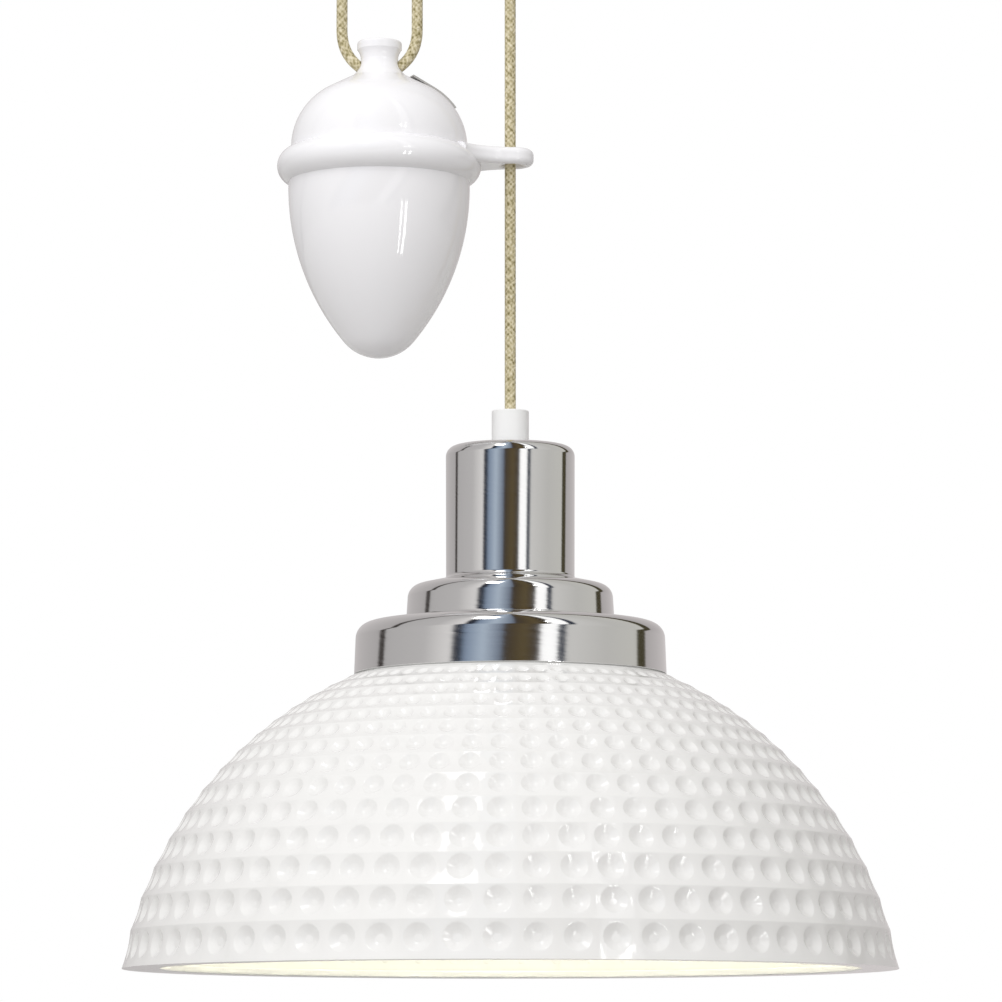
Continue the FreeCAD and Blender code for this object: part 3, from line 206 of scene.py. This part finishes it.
def braid(name, light, middle, dark):
    # two sets of yarns that cross, each on a helix; u runs round the cord, v along it in metres
    def varying(paint):
        wander = paint.noise((260, 260, 260), 2)
        spot = paint.axes(paint.node("ShaderNodeUVMap", {"uv_map": "along"}))
        around, along = (spot[i] + wander * braidSizes["wander"][i] for i in (0, 1))

        def flecks(columns, period):
            # light and dark patches in turn both ways, as where the yarns pass over each other
            waves = [paint.calculate("COSINE", angle)
                     for angle in (along * (math.tau / period), around * (math.tau * columns))]
            return waves[0] * waves[1] * 0.5 + 0.5
        yarns, tracer = flecks(*braidSizes["yarns"]), flecks(*braidSizes["tracer"])
        fibre = paint.noise((900, 900, 500), 2)
        yarnShare, tracerShare, fibreShare = braidSizes["shares"]
        pattern = yarns * yarnShare + tracer * tracerShare + fibre * fibreShare
        tone = paint.node("ShaderNodeValToRGB", {"stops": [
            (0.34, dark), (0.56, middle), (0.80, light)]}, {0: pattern})
        return {"Base Color": tone, "Roughness": fibre * 0.1 + 0.75,
                "Normal": paint.bump(yarns * 0.9 + fibre * 0.3, 0.7, braidSizes["relief"] * mm)}
    return newMaterial(name, {"Sheen Weight": 0.15, "Specular IOR Level": 0.3}, varying)


def glowingGlass(name, colour, strength):
    def varying(paint):
        cloud = paint.noise((30, 30, 30), 2)
        return {"Base Color": paint.mixColours(cloud, colour, tuple(c * 0.97 for c in colour)),
                "Emission Color": paint.mixColours(cloud, colour, tuple(c * 0.97 for c in colour)),
                "Roughness": cloud * 0.05 + 0.15}
    return newMaterial(name, {"Emission Strength": strength}, varying)


lampAxis = (lampX, 0, 0)
paints = {
    "weight_glaze": porcelain("weightGlaze", (0.96, 0.955, 0.98), (0.945, 0.94, 0.965), 0.05),
    "shade_glaze": porcelain("shadeGlaze", (0.87, 0.865, 0.855), (0.845, 0.84, 0.83), 0.06),
    "gallery_metal": turnedMetal("galleryMetal", (0.84, 0.835, 0.83), (0.81, 0.805, 0.80), 0.05,
                                 lampAxis, 900, 0.12, 0.06),
    "white_metal": plainCoat("whiteMetal", (0.87, 0.87, 0.86), (0.82, 0.82, 0.81), 0.2, 260, 0.06),
    "white_plastic": plainCoat("whitePlastic", (0.95, 0.95, 0.95), (0.92, 0.92, 0.92), 0.25, 700,
                               0.05),
    "plate_steel": turnedMetal("plateSteel", (0.60, 0.61, 0.62), (0.48, 0.49, 0.50), 0.35,
                               (0, 0, 0), 500, 0.2),
    "bright_steel": turnedMetal("brightSteel", (0.70, 0.71, 0.72), (0.58, 0.59, 0.60), 0.25,
                                (0, 0, 0), 900, 0.15),
    "yoke_steel": plainCoat("yokeSteel", (0.87, 0.87, 0.86), (0.82, 0.82, 0.81), 0.2, 260, 0.06),
    "brass": turnedMetal("brassMetal", (0.78, 0.58, 0.26), (0.62, 0.44, 0.18), 0.25, (0, 0, 0),
                         700, 0.15),
    "ballast_iron": plainCoat("castIron", (0.10, 0.10, 0.11), (0.05, 0.05, 0.05), 0.6, 300, 0.6),
    "rubber": plainCoat("rubber", (0.035, 0.035, 0.035), (0.02, 0.02, 0.02), 0.6, 500, 0.2),
    "tag_metal": plainCoat("tagMetal", (0.50, 0.49, 0.47), (0.42, 0.41, 0.40), 0.35, 900, 0.1,
                           0.5),
    "holder_ceramic": plainCoat("holderCeramic", (0.85, 0.84, 0.80), (0.78, 0.77, 0.72), 0.5, 400,
                                0.15),
    "bulb_glass": glowingGlass("bulbGlass", (1.0, 0.98, 0.79), 20.0),
    "bulb_metal": turnedMetal("bulbMetal", (0.72, 0.72, 0.73), (0.60, 0.60, 0.61), 0.25,
                              lampAxis, 900, 0.2),
    "braided_cord": braid("braidedCord", linear("eae1c6"), linear("c8bd98"), linear("83784c")),
    "paleRubber": plainCoat("paleRubber", (0.42, 0.42, 0.41), (0.34, 0.34, 0.33), 0.5, 500, 0.2),
}
for part in frame["record"]["subparts"]:
    nodes[part["node"]].data.materials.clear()
    nodes[part["node"]].data.materials.append(paints[part["material_slot"]])
for name in ("weight_seal", "lower_gasket", "upper_gasket"):
    nodes[name].data.materials[0] = paints["paleRubber"]
print("materials made")


def deselectAll():
    if bpy.context.mode != "OBJECT":
        bpy.ops.object.mode_set(mode="OBJECT")
    bpy.ops.object.select_all(action="DESELECT")


def cornerArc(before, corner, after, radius, steps):
    # the points that round one corner of an outline
    before, corner, after = Vector(before), Vector(corner), Vector(after)
    back, on = (before - corner).normalized(), (after - corner).normalized()
    half = back.angle(on) / 2
    centre = corner + (back + on).normalized() * (radius / math.sin(half))
    start = corner + back * (radius / math.tan(half)) - centre
    end = corner + on * (radius / math.tan(half)) - centre
    sweep = start.angle(end)
    points = []
    for step in range(steps + 1):
        share = step / steps
        mixed = (start * math.sin((1 - share) * sweep) + end * math.sin(share * sweep)) \
            / math.sin(sweep)
        points.append(tuple(centre + mixed))
    return points


def outline(corners, steps):
    # corners are (radius, height) or (radius, height, rounding), in millimetres
    points = []
    for spot, corner in enumerate(corners):
        if len(corner) == 2:
            points.append(corner)
        else:
            points += cornerArc(corners[spot - 1][:2], corner[:2], corners[spot + 1][:2],
                                corner[2], steps)
    return points


def turned(name, points, axisX, zeroZ, steps, sharp):
    # a point is drawn out into half an outline, which is spun round the upright axis; edges
    # sharper than so many degrees stay crisp
    deselectAll()
    bpy.ops.mesh.primitive_plane_add(size=1, location=(0, 0, 0))
    piece = bpy.context.object
    piece.name = name
    bpy.ops.object.mode_set(mode="EDIT")
    bpy.ops.mesh.select_mode(type="VERT")
    bpy.ops.mesh.select_all(action="SELECT")
    bpy.ops.mesh.merge(type="CENTER")
    bpy.ops.mesh.select_all(action="SELECT")
    bpy.ops.transform.translate(value=(axisX + points[0][0] * mm, 0, zeroZ + points[0][1] * mm))
    for here, there in zip(points, points[1:]):
        bpy.ops.mesh.extrude_region_move(TRANSFORM_OT_translate={
            "value": ((there[0] - here[0]) * mm, 0, (there[1] - here[1]) * mm)})
    bpy.ops.mesh.select_all(action="SELECT")
    bpy.ops.mesh.spin(steps=steps, angle=math.tau, center=(axisX, 0, 0), axis=(0, 0, 1))
    bpy.ops.mesh.select_all(action="SELECT")
    bpy.ops.mesh.remove_doubles(threshold=2e-6)
    bpy.ops.mesh.normals_make_consistent(inside=False)
    bpy.ops.object.mode_set(mode="OBJECT")
    bpy.ops.object.shade_smooth_by_angle(angle=math.radians(sharp))
    return piece


def flatNormals(piece):
    # the large faces keep their own normals, and the narrow ones between them do the rounding
    deselectAll()
    piece.select_set(True)
    bpy.context.view_layer.objects.active = piece
    weighted = piece.modifiers.new("weighted", "WEIGHTED_NORMAL")
    weighted.keep_sharp = True
    bpy.ops.object.modifier_apply(modifier="weighted")


cordSizes = {"diameter": 5.4, "sides": 24, "drawn": 160}


def splinePath(name, points):
    # the smooth line of a route, read back from its NURBS spline
    curve = bpy.data.curves.new(name, "CURVE")
    curve.dimensions = "3D"
    spline = curve.splines.new("NURBS")
    spline.points.add(len(points) - 1)
    for spot, (x, z) in zip(spline.points, points):
        spot.co = (x * mm, 0, z * mm, 1)
    spline.order_u = 3
    spline.use_endpoint_u = True
    spline.resolution_u = cordSizes["drawn"] // (len(points) - 2)
    holder = bpy.data.objects.new(name, curve)
    scene.collection.objects.link(holder)
    bpy.context.view_layer.update()
    line = bpy.data.meshes.new_from_object(holder)
    path = [v.co.copy() for v in line.vertices]
    bpy.data.objects.remove(holder)
    bpy.data.meshes.remove(line)
    return path


def cordTube(name, points, body, node):
    path = splinePath(name + "Line", points)
    diameter, sides = cordSizes["diameter"] * mm, cordSizes["sides"]
    radius = diameter / 2
    verts, faces, runs = [], [], [0.0]
    for spot, here in enumerate(path):
        ahead = path[min(spot + 1, len(path) - 1)] - path[max(spot - 1, 0)]
        across = ahead.cross(Vector((0, 1, 0))).normalized()
        for side in range(sides):
            angle = math.tau * side / sides
            verts.append(here + across * (math.cos(angle) * radius)
                         + Vector((0, math.sin(angle) * radius, 0)))
        if spot:
            runs.append(runs[-1] + (here - path[spot - 1]).length)
    for spot in range(len(path) - 1):
        for side in range(sides):
            after = (side + 1) % sides
            faces.append((spot * sides + side, spot * sides + after,
                          (spot + 1) * sides + after, (spot + 1) * sides + side))
    faces += [tuple(range(sides))[::-1], tuple(range((len(path) - 1) * sides, len(verts)))]
    mesh = bpy.data.meshes.new(name)
    mesh.from_pydata(verts, [], faces)
    layer = mesh.uv_layers.new(name="along")
    for face in mesh.polygons:
        face.use_smooth = len(face.vertices) == 4
        for loop in face.loop_indices:
            spot, side = divmod(mesh.loops[loop].vertex_index, sides)
            last = side == 0 and len(face.vertices) == 4 and face.index % sides == sides - 1
            layer.data[loop].uv = ((sides if last else side) / sides,
                                   runs[spot] + points[0][1] * mm)
    piece = bpy.data.objects.new(name, mesh)
    scene.collection.objects.link(piece)
    deselectAll()
    piece.select_set(True)
    bpy.context.view_layer.objects.active = piece
    bpy.ops.object.mode_set(mode="EDIT")
    bpy.ops.mesh.select_all(action="SELECT")
    bpy.ops.mesh.normals_make_consistent(inside=False)
    bpy.ops.object.mode_set(mode="OBJECT")
    mesh.materials.append(paints["braided_cord"])
    if isinstance(body, str):
        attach(piece, body)
    else:
        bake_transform(piece)
    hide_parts(node)


# the flex from the terminal block over the weight and the pulley to the lampholder, as points
# (x, z) in millimetres
cordRoutes = {
    "roseCordTail": ([(-40.8, -14.5), (-40.8, -32), (-40.8, -50)], "ceiling", "rose_cord_tail"),
    "fixedRun": ([(-40.8, -50), (-40.8, -120), (-40.8, -192.36)],
                 ("ceiling", "weight", "down"), "cord_fixed_run"),
    "weightLoop": ([(-40.8, -192.36), (-40.8, -202.28), (-29.19, -214.3), (-15.61, -214.3),
                    (-4, -202.28), (-4, -192.36)], "weight", "cord_weight_loop"),
    "returnRun": ([(-4, -192.36), (-4, -135), (-4, -78)], ("ceiling", "weight", "up"),
                  "cord_return_run"),
    "pulleyTurn": ([(-4, -78), (-4, -68.58), (9.33, -55.25), (28.17, -55.25), (41.5, -68.58),
                    (41.5, -78)], "ceiling", "cord_pulley_turn"),
    "lampRun": ([(41.5, -78), (41.5, -230), (41.5, -380.5)], ("ceiling", "lamp", "down"),
                "cord_lamp_run"),
    "lampCordTail": ([(41.5, -380.5), (41.5, -398), (41.5, -415.1)], "lamp", "lamp_cord_tail"),
}
for cordName, (route, carrier, cadNode) in cordRoutes.items():
    cordTube(cordName, route, carrier, cadNode)
print("cords drawn")


shadeSizes = {
    "radius": 188.0, "centre": -31.5, "wall": 3.0, "hole": 52.0, "lipWidth": 17.9,
    "lipThickness": 3.6, "columns": 64, "rimBand": 5.63, "rowStretch": 0.925, "leastRow": 3.2,
    "dimpledRows": 14, "dimpleShare": 0.78, "rowShare": 0.84, "lift": 0.12, "depth": 0.20,
    "flute": 0.035,
    "turn": -1.9,  # degrees that the column nearest to the camera stands left of it
    # a dimple's rings from its edge inwards, as (width, depth), and its middle, of its radius
    "dimpleRings": ((0.10, 0.09), (0.37, 0.55)), "dimpleMiddle": -0.36, "dimpleSides": 16,
    "insideSteps": 24, "lipRounding": 0.8, "sharp": 40,
}


def ridgeAngles():
    radius, centre = shadeSizes["radius"], shadeSizes["centre"]
    top = math.degrees(math.acos(shadeSizes["hole"] / radius))
    rim = math.degrees(math.asin(-centre / radius))
    pitch = 360 / shadeSizes["columns"] * shadeSizes["rowStretch"]
    angles = [rim, rim + shadeSizes["rimBand"]]
    while True:
        step = max(pitch * math.cos(math.radians(angles[-1] + pitch * 0.45)),
                   shadeSizes["leastRow"])
        if angles[-1] + 1.5 * step > top:
            return angles + [top]
        angles.append(angles[-1] + step)


def onDome(degrees, radius):
    angle = math.radians(degrees)
    return radius * math.cos(angle), shadeSizes["centre"] + radius * math.sin(angle)


def dimpleTile():
    # one dimple in a square of half width 1, with a quarter of its corners on each side
    deselectAll()
    share, sides = shadeSizes["dimpleShare"], shadeSizes["dimpleSides"]
    bpy.ops.mesh.primitive_circle_add(vertices=sides, radius=share, fill_type="NGON")
    tile = bpy.context.object
    bpy.ops.object.mode_set(mode="EDIT")
    bpy.ops.mesh.select_mode(type="FACE")
    bpy.ops.mesh.select_all(action="SELECT")
    for thickness, sink in shadeSizes["dimpleRings"]:
        bpy.ops.mesh.inset(thickness=thickness * share, depth=-sink, use_boundary=True)
    bpy.ops.mesh.poke(offset=shadeSizes["dimpleMiddle"])
    bpy.ops.mesh.select_mode(type="EDGE")
    bpy.ops.mesh.select_all(action="DESELECT")
    bpy.ops.mesh.select_non_manifold()
    bpy.ops.mesh.extrude_edges_move()
    bpy.ops.transform.resize(value=(1.1, 1.1, 1))
    bpy.ops.object.mode_set(mode="OBJECT")
    for vert in tile.data.vertices:
        x, y, z = vert.co
        if math.hypot(x, y) > share * 1.05:  # the outer ring becomes the square
            step = round(math.atan2(y, x) / (math.tau / sides))
            side, along = divmod((step + sides // 8) % sides, sides // 4)
            reach = 8 * along / sides - 1
            vert.co = [(1, reach), (-reach, 1), (-1, -reach), (reach, -1)][side] + (0,)
    return tile


def wrapRow(tile, row, angles):
    # a copy of the tile for each column, laid on the cone between two ridges
    deselectAll()
    band = tile.copy()
    band.data = tile.data.copy()
    scene.collection.objects.link(band)
    band.select_set(True)
    bpy.context.view_layer.objects.active = band
    array = band.modifiers.new("columns", "ARRAY")
    array.count = shadeSizes["columns"]
    array.use_relative_offset = False
    array.use_constant_offset = True
    array.constant_offset_displace = (2, 0, 0)
    bpy.ops.object.modifier_apply(modifier="columns")
    low, high = (Vector(onDome(a, shadeSizes["radius"])) for a in angles[row:row + 2])
    height = (high - low).length
    pitch = math.tau * (low.x + high.x) / 2 / shadeSizes["columns"]
    dimple = min(shadeSizes["dimpleShare"] * pitch, shadeSizes["rowShare"] * height) / 2
    up = (high - low).normalized()
    out = Vector((up.y, -up.x))
    share = shadeSizes["dimpleShare"]
    for vert in band.data.vertices:
        column = round(vert.co.x / 2)
        x, y, z = vert.co.x - 2 * column, vert.co.y, vert.co.z
        if math.hypot(x, y) < share * 1.01:
            across = x * dimple / share * 2 / pitch
            rise = y * dimple / share * 2 / height + shadeSizes["lift"]
        else:
            across, rise = x, y
        sunk = z * shadeSizes["depth"] * 2 * dimple - shadeSizes["flute"] * height * (1 - rise ** 2)
        place = low + up * (height * (rise + 1) / 2) + out * sunk
        angle = math.radians(shadeSizes["turn"] - 90) + math.tau * (column + across / 2) \
            / shadeSizes["columns"]
        vert.co = (lampX + place.x * mm * math.cos(angle), place.x * mm * math.sin(angle),
                   rimZ + place.y * mm)
    return band


def makeShade():
    sizes, angles = shadeSizes, ridgeAngles()
    tile = dimpleTile()
    bands = [wrapRow(tile, row, angles) for row in range(sizes["dimpledRows"])]
    bpy.data.objects.remove(tile)
    inner, rimRadius = sizes["radius"] - sizes["wall"], onDome(angles[0], sizes["radius"])[0]
    plain = [onDome(a, sizes["radius"]) for a in angles[sizes["dimpledRows"]:]]
    top = math.degrees(math.acos(sizes["hole"] / inner))
    foot = math.degrees(math.asin((sizes["lipThickness"] - sizes["centre"]) / inner))
    steps = sizes["insideSteps"]
    inside = [onDome(top + (foot - top) * i / steps, inner) for i in range(steps + 1)]
    lip, rounding = rimRadius - sizes["lipWidth"], sizes["lipRounding"]
    points = plain + inside + outline([
        (lip + 1, sizes["lipThickness"]), (lip, sizes["lipThickness"], rounding),
        (lip, 0, rounding), (rimRadius, 0)], 3)
    shade = turned("bowlShade", points, lampX, rimZ, sizes["columns"] * 4, 35)
    turnBy = math.radians(sizes["turn"] - 90)
    for vert in shade.data.vertices:  # the spin starts on +X and the columns on their own turn
        x, y = vert.co.x - lampX, vert.co.y
        vert.co.x = lampX + x * math.cos(turnBy) - y * math.sin(turnBy)
        vert.co.y = x * math.sin(turnBy) + y * math.cos(turnBy)
    deselectAll()
    for piece in [shade] + bands:
        piece.select_set(True)
    bpy.context.view_layer.objects.active = shade
    bpy.ops.object.join()
    bpy.ops.object.mode_set(mode="EDIT")
    bpy.ops.mesh.select_all(action="SELECT")
    bpy.ops.mesh.remove_doubles(threshold=2e-5)
    bpy.ops.mesh.normals_make_consistent(inside=False)
    bpy.ops.object.mode_set(mode="OBJECT")
    bpy.ops.object.shade_smooth_by_angle(angle=math.radians(sizes["sharp"]))
    ridgeHeights = [rimZ + onDome(a, sizes["radius"])[1] * mm
                    for a in angles[1:sizes["dimpledRows"] + 1]]
    mesh = shade.data
    for edge in mesh.edges:  # the ridges between the rows of dimples stay crisp
        ends = [mesh.vertices[v].co for v in edge.vertices]
        level = (ends[0].z + ends[1].z) / 2
        far = min((end.xy - Vector((lampX, 0))).length for end in ends)
        if abs(ends[0].z - ends[1].z) < 1e-6 and any(
                abs(level - z) < 1e-5 and abs(far - math.sqrt(
                    (sizes["radius"] * mm) ** 2 - (z - rimZ - sizes["centre"] * mm) ** 2)) < 1e-4
                for z in ridgeHeights):
            edge.use_edge_sharp = True
    flatNormals(shade)
    mesh.materials.append(paints["shade_glaze"])
    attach(shade, "lamp")
    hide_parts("shade")
    print("shade:", len(mesh.polygons), "faces")


makeShade()


eggSizes = {"radius": 44.2, "shoulder": 2.4, "height": 83.8, "tip": 22.0, "wall": 5.0,
            "outsideSteps": 56, "insideSteps": 20, "tipSteps": 12, "turnSteps": 144}


def makeEgg():
    radius, tip, height = eggSizes["radius"], eggSizes["tip"], eggSizes["height"]
    tipSteps = eggSizes["tipSteps"]
    side = (radius ** 2 + (height - tip) ** 2 - tip ** 2) / (2 * (radius - tip))
    tipZ = -eggSizes["shoulder"] - height

    def half(inset, steps):
        # side arc about a centre on the shoulder's level, then the tip arc about the axis
        meet = math.atan2(height - tip, side - radius)
        points = [(radius - side + (side - inset) * math.cos(meet * i / steps),
                   -eggSizes["shoulder"] - (side - inset) * math.sin(meet * i / steps))
                  for i in range(steps + 1)]
        for i in range(1, tipSteps + 1):
            angle = meet + (math.pi / 2 - meet) * i / tipSteps
            points.append(((tip - inset) * math.cos(angle),
                           tipZ + tip - (tip - inset) * math.sin(angle)))
        return points
    inner = half(eggSizes["wall"], eggSizes["insideSteps"])
    outer = half(0, eggSizes["outsideSteps"])
    points = inner[::-1] + [(radius - eggSizes["wall"], 0), (radius, 0)] + outer
    egg = turned("weightEgg", points, weightX, weightZ, eggSizes["turnSteps"], 35)
    egg.data.materials.append(paints["weight_glaze"])
    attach(egg, "weight")
    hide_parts("weight_egg")


makeEgg()
print("egg turned")


gallerySizes = {"wall": 1.2, "seat": 1.45, "skirtBase": 75.1, "skirtTop": 74.3,
                "skirtHeight": 23.2, "skirtSlope": 2.0, "waistBase": 50.2, "waistTop": 49.2,
                "waistHeight": 16.1, "waistSlope": 4.0, "neckBase": 31.0, "neckHead": 31.2,
                "neckHeight": 64.5, "skirtCorner": 7.5, "waistCorner": 6.5, "foot": 1.8,
                "headCorner": 5.0, "hole": 5.05, "hem": 1.0, "hemOut": 0.12, "hemIn": 0.3,
                "hemRounding": 0.25, "turnSteps": 192}


def makeGallery():
    s = gallerySizes
    low = shadeSizes["centre"] + math.sqrt(shadeSizes["radius"] ** 2 - s["skirtBase"] ** 2) \
        + s["seat"]
    skirt = low + s["skirtHeight"]
    waistLow = skirt + s["skirtSlope"]
    waist = waistLow + s["waistHeight"]
    neckLow = waist + s["waistSlope"]
    head, wall = neckLow + s["neckHeight"], s["wall"]
    outside = outline([
        (s["skirtBase"] - s["hemIn"], low - s["hem"]),
        (s["skirtBase"] + s["hemOut"], low - s["hem"], s["hemRounding"]),
        (s["skirtTop"], skirt, s["skirtCorner"]),
        (s["waistBase"], waistLow, s["foot"] - wall / 2), (s["waistTop"], waist, s["waistCorner"]),
        (s["neckBase"], neckLow, s["foot"]), (s["neckHead"], head, s["headCorner"]),
        (s["hole"], head)], 10)
    inside = outline([
        (s["hole"], head - wall), (s["neckHead"] - wall, head - wall, s["headCorner"] - wall),
        (s["neckBase"] - wall, neckLow - wall, s["foot"] + wall),
        (s["waistTop"] - wall, waist - wall, s["waistCorner"] - wall),
        (s["waistBase"] - wall, waistLow - wall, s["foot"] + wall / 2),
        (s["skirtTop"] - wall, skirt - wall, s["skirtCorner"] - wall),
        (s["skirtBase"] - wall, low - s["hem"])], 6)
    gallery = turned("galleryCap", outside + inside + outside[:1], lampX, rimZ, s["turnSteps"], 35)
    flatNormals(gallery)
    gallery.data.materials.append(paints["gallery_metal"])
    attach(gallery, "lamp")
    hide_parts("gallery")


makeGallery()
print("gallery turned")


stageSettings = {"floorZ": -2.6, "floorSize": 60.0, "floorColour": (0.97, 0.97, 0.965)}


def addFloor():
    deselectAll()
    bpy.ops.mesh.primitive_plane_add(size=stageSettings["floorSize"],
                                     location=(0, 0, stageSettings["floorZ"]))
    floor = bpy.context.object
    floor.name = "floor"
    material = bpy.data.materials.new("floor")
    material.use_nodes = True
    paint = Paint(material.node_tree)
    matt = paint.node("ShaderNodeBsdfDiffuse", None, {"Color": (*stageSettings["floorColour"], 1)})
    paint.node("ShaderNodeOutputMaterial", None, {"Surface": matt})
    floor.data.materials.append(material)
    floor.visible_diffuse = False


lightsAim = (0.01, 0, -0.45)
lampSettings = {
    # degrees right of the camera, degrees up, metres away, wide and high, watts, colour
    "overheadBox": (-23, 54, 2.2, 0.5, 0.66, 4.7, (1.0, 0.99, 0.98)),
    "leftHigh": (29.5, 27, 1.9, 0.05, 0.25, 0.35, (1.0, 1.0, 1.0)),
    "rightHigh": (35.5, 27, 1.9, 0.066, 0.25, 0.45, (1.0, 1.0, 1.0)),
    "leftStrip": (29.5, -10.2, 1.9, 0.055, 0.83, 2.0, (1.0, 1.0, 1.0)),
    "rightStrip": (35.5, -10.2, 1.9, 0.08, 0.83, 3.0, (1.0, 1.0, 1.0)),
    "backBox": (180, 15, 2.6, 1.6, 1.2, 26.0, (1.0, 1.0, 1.0)),
}


def addLights():
    for name, (azimuth, elevation, distance, width, height, power, colour) in lampSettings.items():
        light = bpy.data.lights.new(name, "AREA")
        light.shape, light.size, light.size_y = "RECTANGLE", width, height
        light.energy, light.color = power, colour
        holder = bpy.data.objects.new(name, light)
        turn, lift = math.radians(azimuth), math.radians(elevation)
        way = Vector((math.sin(turn) * math.cos(lift), -math.cos(turn) * math.cos(lift),
                      math.sin(lift)))
        holder.location = Vector(lightsAim) + way * distance
        holder.rotation_euler = way.to_track_quat("Z", "Y").to_euler()
        holder.visible_glossy = name != "backBox"
        holder.visible_diffuse = name not in ("leftStrip", "rightStrip")
        scene.collection.objects.link(holder)


# what the polished metal mirrors all round: degrees right of the camera, and the colour seen
roomBands = [
    (-180, "bcb8b8"), (-118, "a6a3a3"), (-116, "3a3634"), (-111, "3a3634"), (-109.5, "a9a7a7"),
    (-72, "b0aeae"), (-51, "d2d0cf"), (-48.5, "232732"), (-44, "232732"), (-40, "76859a"),
    (-27, "a3b0bf"), (-14, "6a7484"), (-11, "3a3128"), (3, "54482f"), (14, "2e2723"),
    (16, "ffffff"), (28, "ffffff"), (29.5, "2a2e3a"), (34, "343a46"), (36, "c2c1bf"),
    (70, "b4b3b0"), (104, "b9b8b3"), (106, "403c2c"), (116, "403c2c"), (118, "a6a2a2"),
    (180, "c6c1c1"),
]
# the soft light's colour from its darkest to its brightest side
glowStops = [(0, (0.22, 0.21, 0.20)), (0.4, (0.39, 0.38, 0.365)), (1, (1, 1, 1))]
roomSettings = {"slant": 0.31, "level": 0.11, "topLevel": 0.25, "mirrored": 1.2, "soft": 1.31,
                "middle": 0.41, "front": 0.60, "up": 0.26, "down": 0.85, "left": 0.23}


def addWorld():
    s = roomSettings
    world = bpy.data.worlds.new("studio")
    world.use_nodes = True
    scene.world = world
    paint = Paint(world.node_tree)
    right, back, up = paint.axes(paint.node("ShaderNodeTexCoord"))
    azimuth = paint.calculate("ARCTAN2", right, back * -1)
    rise = paint.calculate("MINIMUM", up, s["topLevel"])
    bands = paint.node("ShaderNodeValToRGB", {"stops": [
        (degrees / 360 + 0.5, linear(colour)) for degrees, colour in roomBands]},
        {0: azimuth * (1 / math.tau) + 0.5 - (rise - s["level"]) * s["slant"]})
    sink = paint.calculate("MINIMUM", up, 0.0)
    level = back * -s["front"] + up * s["up"] + right * -s["left"] + sink * s["down"] + s["middle"]
    glow = paint.node("ShaderNodeValToRGB", {"stops": glowStops}, {0: level})
    room = paint.node("ShaderNodeBackground", None, {"Color": bands, "Strength": s["mirrored"]})
    soft = paint.node("ShaderNodeBackground", None, {"Color": glow, "Strength": s["soft"]})
    white = paint.node("ShaderNodeBackground", None, {"Color": (1, 1, 1, 1), "Strength": 1.0})
    isCamera, isGlossy, isThrough = (paint.node("ShaderNodeLightPath", output=name) for name in (
        "Is Camera Ray", "Is Glossy Ray", "Is Transmission Ray"))
    lit = paint.node("ShaderNodeMixShader", None, {0: isGlossy, 1: soft, 2: room})
    seen = paint.calculate("MAXIMUM", isCamera, isThrough)
    shown = paint.node("ShaderNodeMixShader", None, {0: seen, 1: lit, 2: white})
    paint.node("ShaderNodeOutputWorld", None, {"Surface": shown})


addFloor()
addLights()
addWorld()
print("floor, lights and world made")
